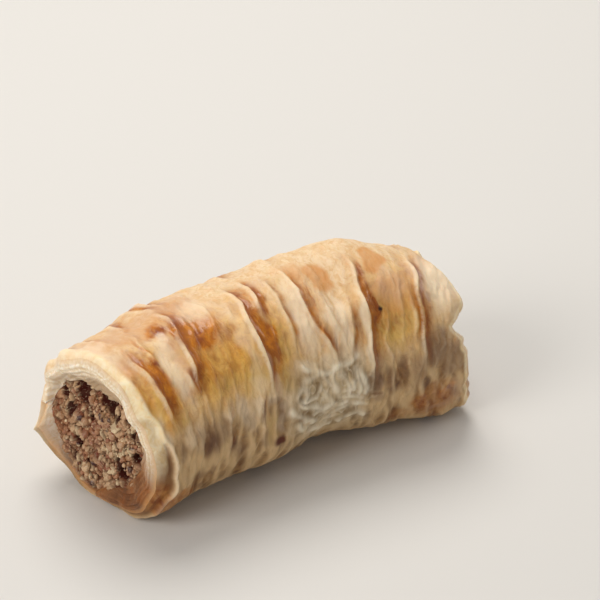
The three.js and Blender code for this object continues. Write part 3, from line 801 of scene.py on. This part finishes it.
def unroll(piece, rows, columns):
    """Lays the grid out flat, so that a picture can be painted on it from one end to the other."""
    flat = piece.data.uv_layers.new(name="OFBake")
    i, j = np.divmod(np.arange(rows * columns), columns)
    across = np.stack([j, j, j + 1, j + 1], axis=-1) / columns
    up = np.stack([i, i + 1, i + 1, i], axis=-1) / rows
    flat.data.foreach_set("uv", np.stack([across, up], axis=-1).astype(np.float32).ravel())


def padded_rows(values, far=0.0, bore=0.0, near=0.0):
    """Adds rows for the far lip, the bore and the near lip to values known on the skin."""
    rows = [values]
    for fill, count in ((far, LIP_ROWS), (bore, BORE_ROWS), (near, LIP_ROWS)):
        rows.append(np.broadcast_to(np.asarray(fill, float), (count, COLUMNS)))
    return np.concatenate(rows)


# %% Build the pastry's mesh
pattern_space = roll_space(all_share, all_angle)
pattern_space[SKIN_ROWS:SKIN_ROWS + LIP_ROWS, :, 0] = far_along
pattern_space[-LIP_ROWS:, :, 0] = near_along[::-1]
toe = plateau(turn_between(angles, 284), 79)  # where the cut faces are browned, low down
plain = np.zeros_like(share)
on_skin_alone = {
    "golden": golden, "crease": crease, "thin": thin, "brown": brown, "rust": rust, "haze": haze,
    "pale": pale, "yellow": yellow, "rosy": rosy, "mark": mark, "rim": rim, "veil": veil, "net": net,
    "pinhole": pinhole, "bare": bare_near, "dry_and_highlit": dry_and_highlit * (1 - 0.4 * amber), "hollow": np.clip(-dry_and_lit_peak, 0, 1),
    "dry_and_lit_peak": np.clip(dry_and_lit_peak, 0, 1) * (1 - 0.8 * soaked),
}
attributes = {title: padded_rows(values) for title, values in on_skin_alone.items()}
attributes["soaked"] = padded_rows(soaked, 0.3 * toe, 0.3, 0.45 * toe)
attributes["tan"] = padded_rows(tan, 0.4 * toe, 0.0, 0.6 * toe)
attributes["groove"] = padded_rows(plain, far_groove, 0.0, near_groove[::-1])
attributes["across"] = padded_rows(plain, far_across, 5.0, near_across[::-1])
attributes["roll_space"] = pattern_space
pastry = closed_grid("filo_pastry", points, attributes)
unroll(pastry, points.shape[0], COLUMNS)
print("pastry:", len(pastry.data.polygons), "faces")

# %% [markdown]
# ## Colours and nodes
# Colours are picked as sRGB hex values, as in any paint program, and turned to linear light,
# which is what the shaders count in. One small function adds a node with its settings and links.
# A finish is then built as a painter does it: a ground, and coats laid over it, each only where
# its masks are high. The masks are noise, and what the mesh knows about its points.

# %% Helpers for materials
def linear(hex_colour):
    """An sRGB hex colour as linear red, green, blue and alpha."""
    channels = [int(hex_colour[i:i + 2], 16) / 255 for i in (1, 3, 5)]
    turned = [c / 12.92 if c <= 0.04045 else ((c + 0.055) / 1.055) ** 2.4 for c in channels]
    return (*turned, 1.0)


def add_node(tree, kind, inputs=None, **settings):
    """A node with its settings. An input that is a socket is linked, and any other is set."""
    made = tree.nodes.new(kind)
    for name, value in settings.items():
        setattr(made, name, value)
    for socket, value in (inputs or {}).items():
        if isinstance(value, bpy.types.NodeSocket):
            tree.links.new(value, made.inputs[socket])
        else:
            made.inputs[socket].default_value = value
    return made


def new_material(name):
    material = bpy.data.materials.new(name)
    material.use_nodes = True
    tree = material.node_tree
    tree.nodes.clear()
    return material, tree


def coated(tree, colour, *coats):
    """Lays coats over a ground colour. After its colour, a coat has masks, which are multiplied: a
    socket, a number, or (socket, low, high, least, most), which goes from least at low to most at high."""
    for above, *masks in coats:
        amount = None
        for mask in masks:
            if isinstance(mask, tuple):
                span = dict(zip(("Value", "From Min", "From Max", "To Min", "To Max"), mask))
                mask = add_node(tree, "ShaderNodeMapRange", span).outputs[0]
            if amount is not None:
                mask = add_node(tree, "ShaderNodeMath", {0: amount, 1: mask}, operation="MULTIPLY").outputs[0]
            amount = mask
        below, above = (linear(one) if isinstance(one, str) else one for one in (colour, above))
        mixed = add_node(tree, "ShaderNodeMix", {0: amount, 6: below, 7: above}, data_type="RGBA")
        colour = mixed.outputs[2]
    return colour


# %% [markdown]
# ## Baked filo
# Filo is flour, water and fat, rolled thin, and baked until it is dry. Dry ridges scatter light
# and look cream and matt. Where syrup has soaked in, the air is gone from between the layers, so the
# pastry turns amber and a little glossy. One material with masks gives soft passages between the
# two, where separate materials would end at the edge of a face.

# %% Read the masks, and make noise at real sizes
DRIFT_PER_MM, DRIFT = 0.45, 2.6  # cells of about 2 mm, moved by up to 1.3 mm
# mm along the roll, mm round it, and detail: streaks, mottle, small spots and wide clouds
GRAINS = [(0.5, 1.6, 4.0), (2.0, 2.6, 3.0), (0.5, 0.6, 2.0), (4.5, 4.0, 4.0)]
filo, tree = new_material("baked_filo")
known = {title: add_node(tree, "ShaderNodeAttribute", attribute_name=title).outputs for title in attributes}
in_mm = known["roll_space"]["Vector"]
known = {title: sockets["Fac"] for title, sockets in known.items()}
cells = {"Vector": in_mm, "Scale": DRIFT_PER_MM, "Detail": 2.0}
drift = add_node(tree, "ShaderNodeTexNoise", cells).outputs["Color"]
drift = add_node(tree, "ShaderNodeVectorMath", {0: drift, 1: (0.5,) * 3}, operation="SUBTRACT").outputs[0]
shift = {0: drift, 1: (DRIFT,) * 3, 2: in_mm}
moved = add_node(tree, "ShaderNodeVectorMath", shift, operation="MULTIPLY_ADD")
noises = []
for along, around, detail in GRAINS:
    sizes = {0: moved.outputs[0], 1: (1 / along, 1 / around, 1 / around)}
    scaled = add_node(tree, "ShaderNodeVectorMath", sizes, operation="MULTIPLY")
    cells = {"Vector": scaled.outputs[0], "Scale": 1.0, "Detail": detail}
    noises.append(add_node(tree, "ShaderNodeTexNoise", cells).outputs["Fac"])
streaks, mottle, small, wide = noises
print("masks for the filo:", len(known) + len(noises))

# %% [markdown]
# ### Dry, golden and thin places
# Filo that stays dry is cream with browner spots. On top it is a deeper gold, and low at the sides
# it is thin enough to show the nuts. Each of the three gets its own coats, and masks choose
# between them, because on the real roll they are one sheet without a border.

# %% Dry, golden and thin pastry
gold = coated(
    tree, "#c68620",
    ("#ecb64e", (mottle, 0.3, 0.65)),
    ("#d4b068", (wide, 0.5, 0.7, 0, 0.6)),
    ("#8f5a2c", (small, 0.5, 0.75, 0, 0.2)),
    # darker hollows: syrup, and partly painted shade
    ("#9c5e18", known["hollow"], 0.4),
)
see_through = coated(
    tree, "#6c421e",  # the nuts behind the thin sides
    ("#a47a48", (wide, 0.38, 0.6)),
    ("#5a3422", (mottle, 0.5, 0.66, 0, 0.85)),
    ("#50301c", (small, 0.54, 0.7, 0, 0.45)),
    # darker hollows: painted shade
    ("#543620", known["hollow"], 0.5),
    ("#d8b686", known["veil"], 0.85),
    # paler peaks: partly a painted highlight
    ("#d4b282", known["dry_and_lit_peak"], 0.5),
)
colour = coated(
    tree, "#dab687",
    ("#ead0ab", (streaks, 0.35, 0.65)),
    ("#dcb07c", (mottle, 0.5, 0.75, 0, 0.7)),
    # darker hollows: syrup, and partly painted shade
    ("#c08a48", known["hollow"], 0.4),
    ("#cf9c68", (small, 0.52, 0.7, 0, 0.45)),
    (gold, known["golden"], 0.92),
    (see_through, known["thin"]),
    ("#c8a252", known["yellow"], 0.75),
)
print("nodes so far:", len(tree.nodes))

# %% [markdown]
# ### Syrup and browning
# Syrup is a clear amber that deepens where it stands thick in a crease. The oven leaves tan, rosy
# and rust-brown spots besides. These coats lie over the dry ones, as they do on the pastry.

# %% Syrup and browning
amber_filo = coated(
    tree, "#8a3e00",
    ("#cc7c08", (mottle, 0.32, 0.68)),
    ("#e09c34", (streaks, 0.55, 0.75, 0, 0.4)),
    ("#7e3c04", (small, 0.52, 0.72, 0, 0.35)),
    # darker hollows: thicker syrup, and partly painted shade
    ("#8a4606", known["hollow"], 0.35),
)
# the streaks make the edge of the syrup ragged
ragged = {"Value": streaks, "From Min": 0.3, "From Max": 0.7, "To Min": -0.22, "To Max": 0.22}
ragged = add_node(tree, "ShaderNodeMapRange", ragged).outputs[0]
ragged = add_node(tree, "ShaderNodeMath", {0: ragged, 1: known["soaked"]}, operation="ADD").outputs[0]
rusty = coated(tree, "#823f06", ("#bc8242", (mottle, 0.35, 0.62)))
colour = coated(
    tree, colour,
    (amber_filo, (ragged, 0.1, 0.8)),
    # tan: oven spots, the browned cut faces low down, and on top in the first quarter a wash of painted shade
    ("#cf9254", known["tan"], (mottle, 0.3, 0.6, 0.7, 0.95)),
    ("#c99c7e", known["rosy"], (mottle, 0.35, 0.65, 0.9, 0.4)),
    ("#80542e", known["bare"], 0.8),
    ("#f2dcbc", known["pale"], 0.85),
    (rusty, known["rust"], 0.9),
    ("#644032", known["brown"], (mottle, 0.25, 0.6, 0.95, 0.7)),
    ("#964c06", (known["crease"], 0.1, 0.9, 0, 0.55)),
)
print("nodes so far:", len(tree.nodes))

# %% [markdown]
# ### Dry edges and loose sheets
# What rises highest dries first: the crests, the curled edges of sheets and the net of wrinkles.
# They turn pale and flaky, so they come last, with the few burnt marks and a pinprick. On the peaks,
# crests, curled edges and rims the paleness is partly a painted highlight.

# %% Dry edges with a painted highlight, the net and small marks
# flaky pale crests: dry pastry, and partly a painted highlight
flaky_and_highlit = {"Value": small, "From Min": 0.3, "From Max": 0.55, "To Min": 0.5, "To Max": 1.0}
flaky_and_highlit = add_node(tree, "ShaderNodeMapRange", flaky_and_highlit).outputs[0]
flaky_and_highlit = add_node(tree, "ShaderNodeMath", {0: known["dry_and_highlit"], 1: flaky_and_highlit}, operation="MULTIPLY").outputs[0]
loose_sheet = coated(tree, "#dac29a", ("#957a52", (mottle, 0.4, 0.62)))
# the rims: cream of dry cut edges, and brighter still as a painted highlight
dry_and_highlit_lip = coated(tree, "#f8dca6", ("#fff0cc", (streaks, 0.35, 0.6)))
colour = coated(
    tree, colour,
    # paler peaks: dry pastry, and partly a painted highlight
    ("#f2dbbb", known["dry_and_lit_peak"], 0.35),
    # the crest line: pale as dry pastry, and partly a painted highlight
    ("#f4dfbf", (flaky_and_highlit, 0.2, 0.9, 0, 0.55)),
    (loose_sheet, known["haze"], 0.8),
    ("#ecdfc6", known["net"], 0.85),
    # the rims, partly a painted highlight
    (dry_and_highlit_lip, known["rim"], (mottle, 0.3, 0.6, 0.95, 0.6)),
    ("#5c2412", known["mark"], 0.9),
    # painted shade: a dark spot for the pinprick, with no hole in the mesh
    ("#34160a", known["pinhole"]),
)
print("nodes so far:", len(tree.nodes))

# %% [markdown]
# ### Cut sheets
# A cut face shows the edges of many sheets, paler than the skin because the oven hardly reached
# them, with darker grooves between. Low down it has stood in syrup and is browned. Deeper in, towards
# the nuts, it is darker: painted shade inside the lip.

# %% Colours of the cut faces
toe_colour = coated(
    tree, "#643a1c",
    ("#a26e42", (wide, 0.36, 0.64)),
    ("#5c3418", (small, 0.45, 0.75, 0, 0.5)),
    ("#94521c", (mottle, 0.45, 0.7, 0, 0.7)),
)
cut_colour = coated(
    tree, "#ebd3b0",
    ("#fceeda", (small, 0.4, 0.6)),
    ("#cdb080", known["groove"], 0.6),
    # painted shade: darker deeper into the wall, towards the nuts
    ("#b0906e", (known["across"], 2.0, 4.5, 0, 0.85)),
    (toe_colour, (known["tan"], 0.1, 0.5)),
)
colour = coated(tree, colour, (cut_colour, (known["across"], 0.0, 0.8, 0, 0.95)))
print("nodes so far:", len(tree.nodes))

# %% [markdown]
# ### How filo shines
# Flour and fat have an IOR of about 1.45, and dry pastry is rough. A little light goes into the
# sheets and comes out again redder than it went in, which makes pastry look tender. Soaked places
# are smoother and carry a thin coat of syrup.

# %% The filo's shader
roughness = {"Value": known["soaked"], "From Min": 0.0, "From Max": 0.9, "To Min": 0.6, "To Max": 0.42}
syrup_coat = {"Value": known["soaked"], "From Min": 0.3, "From Max": 0.9, "To Min": 0.0, "To Max": 0.5}
fibres = add_node(tree, "ShaderNodeMath", {0: streaks, 1: small}, operation="ADD").outputs[0]
bump = add_node(tree, "ShaderNodeBump", {"Strength": 0.35, "Distance": 0.15 * MM, "Height": fibres})
filo_finish = {
    "Base Color": colour,
    "Roughness": add_node(tree, "ShaderNodeMapRange", roughness).outputs[0],
    "Normal": bump.outputs[0],
    "IOR": 1.45,
    "Specular IOR Level": 0.3,
    "Subsurface Weight": 0.25,
    "Subsurface Radius": (1.0, 0.7, 0.45),
    "Subsurface Scale": 0.8 * MM,
    "Coat Weight": add_node(tree, "ShaderNodeMapRange", syrup_coat).outputs[0],
    "Coat Roughness": 0.1,
    "Coat IOR": 1.46,
}
shader = add_node(tree, "ShaderNodeBsdfPrincipled", filo_finish)
add_node(tree, "ShaderNodeOutputMaterial", {"Surface": shader.outputs[0]})
print("the filo material has", len(tree.nodes), "nodes")

# %% [markdown]
# ## Into the frame
# The dressed pastry rides on the frame's one body, and takes the place of the solid wrap there.

# %% Dress the pastry
pastry.data.materials.append(filo)
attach(pastry, "root")
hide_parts("filo_wrap")
print("dressed:", pastry.name)

# %% [markdown]
# ## The walnut filling
# Walnuts are chopped to crumbs of half a millimetre to two millimetres and bound by syrup. Inside
# the roll they can't be seen, so a core follows the hole of the pastry, and only its two faces are
# lumpy: nearest points of a random scatter give packed grains with crevices between them.

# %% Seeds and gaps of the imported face
CORE_RINGS = 64
CORE_COLUMNS = 288
CORE_STEPS = 14  # from one face to the other
OVERLAP = 0.3  # mm, by which the core is wider than the hole
MIDDLE_DEPTH = 0.6  # mm, how deep the middle of each face lies
core_angles = np.arange(CORE_COLUMNS) * 360.0 / CORE_COLUMNS - 90
nut_draw = np.random.default_rng(23)
# dark gaps between the nuts of the near end: mm to the front and up from the middle line, and size
NEAR_GAPS = [
    (-5.6, 3.7, 1.5), (-0.3, 5.0, 1.5), (0.4, 3.8, 0.9), (-10.4, 1.4, 1.0), (-7.2, 4.6, 0.9),
    (-8.4, -0.4, 0.9), (2.4, 5.6, 0.8), (2.1, 2.9, 0.6), (4.6, 4.0, 0.8), (-6.4, -4.9, 0.7),
    (-4.0, -7.2, 0.6), (2.8, -4.3, 0.9), (3.7, -5.7, 1.1), (-3.1, 0.7, 0.6), (-7.0, -7.7, 0.7),
    (6.3, -1.6, 0.9), (5.4, 1.5, 0.7),
]
GAP_WIDTH = 1.15  # times the size, so that the slope into a gap has room
FAR_GAPS = [(*nut_draw.uniform(-7, 7, 2), nut_draw.uniform(0.5, 1.4)) for _ in range(16)]
GAPS = {0: NEAR_GAPS, 1: FAR_GAPS}
NUTS, CRUMBS = 420, 1500  # on each face, with those that lie outside the hole
print("gaps:", len(NEAR_GAPS), "at the near end and", len(FAR_GAPS), "at the far end")


def seeds_on(end, count):
    """Random places of nuts, in mm towards the front and up, over a square wider than the hole."""
    middle_of_hole = (-1.5, -1.5) if end == 0 else (0.0, -1.0)
    return middle_of_hole + nut_draw.uniform(-12, 12, (count, 2))


def packed(front, up, seeds):
    """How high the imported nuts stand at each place, from 0 in a crevice to 1, and which nut it is."""
    away = np.hypot(front[..., None] - seeds[:, 0], up[..., None] - seeds[:, 1])
    order = np.argpartition(away, 1, axis=-1)[..., :2]
    near_two = np.sort(np.take_along_axis(away, order, axis=-1), axis=-1)
    return smooth_step(0.0, 0.55, near_two[..., 1] - near_two[..., 0]), away.argmin(axis=-1)


def gap_depth(end, front, up, reach=1.0):
    """How far into a gap each place lies, from 0 outside to 1 at its bottom."""
    depth = np.zeros(front.shape)
    for gap_front, gap_up, size in GAPS[end]:
        away = np.hypot(front - gap_front, up - gap_up) / (size * GAP_WIDTH * reach)
        depth = np.maximum(depth, 1 - smooth_step(0.5, 1.0, away))
    return depth


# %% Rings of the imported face
def face_rows(end):
    """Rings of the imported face, from its rim to its middle, with what is known about each point."""
    part = np.linspace(1, 0.015, CORE_RINGS)[:, None]
    rim, depth = (np.interp(core_angles, angles, values) for values in hole(end))
    radius = (rim + OVERLAP) * part
    depth = depth * part**2 + (1 - part**2) * MIDDLE_DEPTH
    edge_cut = soften(np.interp(core_angles, angles, cut[end])[None, :], 0, 10)[0]
    middle_cut = part * edge_cut + (1 - part) * edge_cut.mean()
    front, up = radius * np.cos(np.radians(core_angles)), radius * np.sin(np.radians(core_angles))
    spot = np.stack([np.full(front.shape, 31.0 * end), front, up], axis=-1)
    moved = shifted(spot, 0.5, 1.1, 3.0)
    big, which = packed(moved[..., 1], moved[..., 2], seeds_on(end, NUTS))
    small, _ = packed(moved[..., 1], moved[..., 2], seeds_on(end, CRUMBS))
    tone = nut_draw.uniform(size=NUTS)[which]
    gap = gap_depth(end, moved[..., 1], moved[..., 2])
    lumpy = 0.35 * noise(spot / 2.2) + 0.2 * noise(spot / 0.9) + 0.1 * noise(spot / 0.4)
    stands = 0.4 * big * (0.4 + tone) + 0.22 * small + lumpy - 1.3 * gap
    inwards = as_share(depth + 0.35 - stands)
    crevice = np.clip(1 - (0.3 + 0.7 * big) * (0.45 + 0.55 * small), 0, 1)
    shade = 1.2 * gap_depth(end, moved[..., 1], moved[..., 2], 1.3)
    return radius * MM, middle_cut + (-inwards if end else inwards), tone, np.maximum(crevice, shade)


# %% [markdown]
# ## The core
# Rings of the near face, plain rows through the roll and rings of the far face make one closed
# mesh. It is a little wider than the hole, so that no gap shows between the nuts and the pastry.

# %% Build the core
def make_core():
    """Both faces, with plain rows between them and a point in the middle of each."""
    near, far = face_rows(0), face_rows(1)
    steps = np.linspace(0, 1, CORE_STEPS)[1:-1, None]
    sides = [near[k][0] + (far[k][0] - near[k][0]) * steps for k in range(4)]
    radius, shares, tone, crevice = (np.concatenate([near[k][::-1], sides[k], far[k]]) for k in range(4))
    where = place(shares, np.broadcast_to(core_angles, shares.shape), radius)
    count = where.shape[0] * CORE_COLUMNS
    index = np.arange(count).reshape(-1, CORE_COLUMNS)
    right = np.roll(index, -1, axis=1)
    faces = np.stack([index[:-1], index[1:], right[1:], right[:-1]], axis=-1).reshape(-1, 4).tolist()
    corners = [*where.reshape(-1, 3), where[0].mean(axis=0), where[-1].mean(axis=0)]
    faces += [(count, index[0, j], right[0, j]) for j in range(CORE_COLUMNS)]
    faces += [(count + 1, right[-1, j], index[-1, j]) for j in range(CORE_COLUMNS)]
    known = {"tone": tone, "crevice": crevice}
    known = {title: np.append(values, [0.5, 0.5]) for title, values in known.items()}
    return add_mesh("ground_walnut", corners, faces, known)


core = make_core()
print("packed nuts:", len(core.data.polygons), "faces")

# %% [markdown]
# ## Single bits of walnut
# On both faces lie single bits that the knife has cut flat here and there. Each is a ball pressed
# into unequal sides, sliced three times and roughened. Some keep the nut's dark skin on one side.
# A particle system could scatter them, but a seeded loop can follow the hole and leave the gaps.

# %% One chopped bit
bit_draw = np.random.default_rng(29)
GOLDEN_ANGLE = 137.508  # degrees from one bit to the next, which spreads them evenly
NEAR_BITS, FAR_BITS = 350, 240


def ico_sphere(subdivisions):
    build = bmesh.new()
    bmesh.ops.create_icosphere(build, subdivisions=subdivisions, radius=1.0)
    corners = np.array([tuple(v.co) for v in build.verts])
    faces = np.array([[v.index for v in f.verts] for f in build.faces])
    build.free()
    return corners, faces


BALL = ico_sphere(2)
print("a bit has", len(BALL[1]), "faces")


def chopped_bit(size):
    """A lump with unequal sides and a few flat cuts, of about this size in metres."""
    corners = BALL[0] * bit_draw.uniform(0.55, 1.0, 3)
    turn = np.linalg.qr(bit_draw.normal(size=(3, 3)))[0]
    for _ in range(3):
        away = bit_draw.normal(size=3)
        away /= np.linalg.norm(away)
        depth = corners @ away - bit_draw.uniform(0.3, 0.6)
        corners = corners - np.maximum(depth, 0)[:, None] * away
    at = bit_draw.uniform(0, 50, 3)
    rough = 0.2 * noise(corners * 1.8 + at) + 0.1 * noise(corners * 4.5 + at)
    return corners * (1 + rough[:, None]) @ turn * size / 2


# %% [markdown]
# ## Bits on both faces
# The golden angle spreads the bits evenly, as it does the seeds of a sunflower, and each is sunk a
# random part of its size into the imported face. Most are small, because a knife makes more crumbs
# than lumps.

# %% Scatter the bits
hole_lines = [hole(0), hole(1)]


def scatter(end, count):
    """Corners, faces, tone and skin of the bits on one face. None lies in a gap."""
    corners, faces, tones, skins = [], [], [], []
    start = 0
    for k in range(count):
        size = (0.5 + 1.5 * bit_draw.uniform() ** 3) * MM
        part = 0.97 * math.sqrt((k + 0.5) / count)
        turn = (GOLDEN_ANGLE * k) % 360 - 90
        rim, depth = (np.interp(turn, angles, values) for values in hole_lines[end])
        radius = rim * MM * part - 0.3 * size * part
        bearing = math.radians(turn)
        front, up = radius / MM * math.cos(bearing), radius / MM * math.sin(bearing)
        in_gap = gap_depth(end, np.array(front), np.array(up), 1.25)
        if in_gap > 0.3:
            continue
        edge_cut = np.interp(turn, angles, cut[end]) * part + cut[end].mean() * (1 - part)
        depth = depth * part**2 + (1 - part**2) * MIDDLE_DEPTH
        inwards = (depth * MM + size * bit_draw.uniform(-0.05, 0.4)) / ROLL_LENGTH
        at = place(edge_cut + (-inwards if end else inwards), turn, radius)
        bit = chopped_bit(size)
        side = bit_draw.normal(size=3)
        corners.append(bit + at)
        faces.append(BALL[1] + start)
        tones.append(np.full(len(bit), bit_draw.uniform()))
        skinned = bit_draw.uniform() < (0.9 if in_gap > 0 else 0.25)
        skins.append(skinned * smooth_step(0.2, 0.5, bit @ side / size * 2 / np.linalg.norm(side)))
        start += len(bit)
    return tuple(np.concatenate(rows) for rows in (corners, faces, tones, skins))


def make_bits():
    near, far = scatter(0, NEAR_BITS), scatter(1, FAR_BITS)
    faces = np.concatenate([near[1], far[1] + len(near[0])])
    corners, tone, skin = (np.concatenate([near[k], far[k]]) for k in (0, 2, 3))
    return add_mesh("chopped_walnut", corners, faces, {"tone": tone, "skin": skin})


bits = make_bits()
print("bits:", len(bits.data.polygons), "faces")

# %% [markdown]
# ## Chopped walnut
# A cut walnut is pale and waxy, with a red-brown skin, and syrup makes it shine a little. The tone
# of each bit picks its colour from a ramp. Crevices are dark and dull, because no light gets in.
# Position in space carries the noise, so it needs no unwrapping.

# %% The walnut material
MOTTLE, STAIN, GRIT = 1.1 * MM, 2.6 * MM, 0.35 * MM  # real sizes of what colours the nuts
TONES = [(0.2, "#a8704c"), (0.5, "#bc926c"), (0.8, "#ceaa82")]


def walnut_material():
    material, tree = new_material("walnut")
    spot = add_node(tree, "ShaderNodeNewGeometry").outputs["Position"]
    noises = [(MOTTLE, 3.0), (STAIN, 2.0), (GRIT, 4.0)]
    noises = [{"Vector": spot, "Scale": 1 / size, "Detail": detail} for size, detail in noises]
    mottle, stain, grit = (add_node(tree, "ShaderNodeTexNoise", cells).outputs["Fac"] for cells in noises)
    masks = (add_node(tree, "ShaderNodeAttribute", attribute_name=k) for k in ("tone", "skin", "crevice"))
    tone, skin, crevice = (mask.outputs["Fac"] for mask in masks)
    ramp = add_node(tree, "ShaderNodeValToRGB", {"Fac": tone})
    steps = ramp.color_ramp.elements
    steps[0].color, steps[1].color = linear("#84482f"), linear("#e0c8a0")
    for at, hex_colour in TONES:
        steps.new(at).color = linear(hex_colour)
    colour = coated(
        tree, ramp.outputs["Color"],
        ("#8f6a48", (mottle, 0.45, 0.7, 0, 0.55)),
        ("#8a4c38", (stain, 0.52, 0.7, 0, 0.7)),
        ("#431810", skin),
        ("#3c1010", (crevice, 0.45, 0.95, 0, 0.95)),
        ("#e2cba6", (grit, 0.56, 0.72, 0, 0.45)),
    )
    bump = add_node(tree, "ShaderNodeBump", {"Strength": 0.8, "Distance": 0.16 * MM, "Height": grit})
    shine = {"Value": crevice, "From Min": 0.3, "From Max": 0.8, "To Min": 0.45, "To Max": 0.02}
    syrup = {"Value": crevice, "From Min": 0.2, "From Max": 0.6, "To Min": 0.2, "To Max": 0.0}
    finish = {
        "Base Color": colour,
        "Roughness": 0.42,
        "Normal": bump.outputs[0],
        "IOR": 1.47,
        "Specular IOR Level": add_node(tree, "ShaderNodeMapRange", shine).outputs[0],
        "Coat Weight": add_node(tree, "ShaderNodeMapRange", syrup).outputs[0],
        "Coat Roughness": 0.2,
    }
    shader = add_node(tree, "ShaderNodeBsdfPrincipled", finish)
    add_node(tree, "ShaderNodeOutputMaterial", {"Surface": shader.outputs[0]})
    return material


walnut = walnut_material()
for piece in (core, bits):
    piece.data.materials.append(walnut)
    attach(piece, "root")
    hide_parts("nut_filling")
print("the walnut material has", len(walnut.node_tree.nodes), "nodes")

# %% [markdown]
# ## Floor
# A plain pale floor, a hair below the pastry so that the two faces don't flicker. A plane is
# enough, as only its upper side is seen.

# %% The floor
HALF_FLOOR = 0.6  # metres
FLOOR_BELOW = 0.02 * MM
square = [(x * HALF_FLOOR, y * HALF_FLOOR, 0) for x, y in ((-1, -1), (1, -1), (1, 1), (-1, 1))]
floor_mesh = bpy.data.meshes.new("floor")
floor_mesh.from_pydata(square, [], [(0, 1, 2, 3)])
floor = add_object("floor", floor_mesh)
floor.location.z = -FLOOR_BELOW
floor_material, floor_tree = new_material("pale_floor")
floor_finish = {"Base Color": linear("#d6d2cc"), "Roughness": 0.7}
floor_shader = add_node(floor_tree, "ShaderNodeBsdfPrincipled", floor_finish)
add_node(floor_tree, "ShaderNodeOutputMaterial", {"Surface": floor_shader.outputs[0]})
floor.data.materials.append(floor_material)
floor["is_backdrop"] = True
print("floor:", 2 * HALF_FLOOR, "m square")

# %% [markdown]
# ## Light
# Food is lit from above and behind, so that its relief throws small shadows towards the camera. A
# large round lamp does that softly, a second one fills from the left, a weak one draws the right
# edge, and an even grey world keeps the shadows open.

# %% Lamps and world
AIM = Vector((0, 0, 13 * MM))
WORLD_STRENGTH = 0.355


def towards(azimuth, elevation):
    """The direction from the pastry to a lamp or a camera. Azimuth 0 is straight in front of it."""
    a, e = math.radians(azimuth), math.radians(elevation)
    return Vector((math.sin(a) * math.cos(e), -math.cos(a) * math.cos(e), math.sin(e)))


def aimed(name, data, location, direction):
    """Puts a lamp or a camera in its place, looking against the direction that is given."""
    made = add_object(name, data)
    made.location = location
    made.rotation_mode = "QUATERNION"
    made.rotation_quaternion = direction.to_track_quat("Z", "Y")
    return made


def soft_light(name, azimuth, elevation, distance, size, power, colour):
    """A round lamp; distance and size are in metres and power is in watts."""
    data = bpy.data.lights.new(name, "AREA")
    data.shape, data.size, data.energy, data.color = "DISK", size, power, colour
    back = towards(azimuth, elevation)
    return aimed(name, data, AIM + back * distance, back)


soft_light("top_light", 165, 60, 0.5, 0.34, 1.76, (1.0, 0.98, 0.95))
soft_light("side_light", -80, 36, 0.6, 0.35, 1.65, (1.0, 0.99, 0.97))
soft_light("rim_light", 100, 14, 0.6, 0.3, 0.45, (1.0, 0.97, 0.92))
world = bpy.data.worlds.new("studio")
world.use_nodes = True
world.node_tree.nodes["Background"].inputs["Color"].default_value = (1, 1, 1, 1)
world.node_tree.nodes["Background"].inputs["Strength"].default_value = WORLD_STRENGTH
bpy.context.scene.world = world
bpy.context.scene.view_settings.view_transform = "Standard"
print("lamps:", len(bpy.data.lights))

# %% [markdown]
# ## Camera
# The camera stands where a person at the table looks from. Its angles, distance and lens were
# fitted to the outline in the photograph. It is turned a little off the aim, so that the pastry
# lies as far from the middle of the picture as it does there.

# %% Camera
CAMERA_AZIMUTH, CAMERA_ELEVATION = -28.39, 34.94
CAMERA_DISTANCE = 420 * MM
FOCAL_PIXELS = 2772  # the focal length in pixels of the picture
PICTURE = 600  # pixels, both ways
AIM_PIXEL = (263, 367)  # where the aim lies in the picture, from its top left corner

camera_data = bpy.data.cameras.new("camera")
camera_data.sensor_width = 36
camera_data.lens = FOCAL_PIXELS / PICTURE * camera_data.sensor_width
camera_data.clip_start, camera_data.clip_end = 0.01, 10
back = towards(CAMERA_AZIMUTH, CAMERA_ELEVATION)
turned = math.radians(CAMERA_AZIMUTH)
right = Vector((math.cos(turned), math.sin(turned), 0))
up = back.cross(right)
per_pixel = CAMERA_DISTANCE / FOCAL_PIXELS
location = AIM + back * CAMERA_DISTANCE
target = AIM + right * (PICTURE / 2 - AIM_PIXEL[0]) * per_pixel
target = target + up * (AIM_PIXEL[1] - PICTURE / 2) * per_pixel
bpy.context.scene.camera = aimed("camera", camera_data, location, location - target)
print("lens in mm:", round(camera_data.lens, 1))

# %% [markdown]
# ## Sizes, and the end
# The dressed pastry should fill the frame's box and no more, or other parts would be placed wrongly
# against it. Its box is measured, written down and compared.

# %% Sizes, and the end
bpy.context.view_layer.update()
low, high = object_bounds()
for side in range(3):
    over = max(cad_low[side] - low[side], high[side] - cad_high[side]) / MM
    print("side", "xyz"[side], "stands proud by", round(over, 2), "mm")
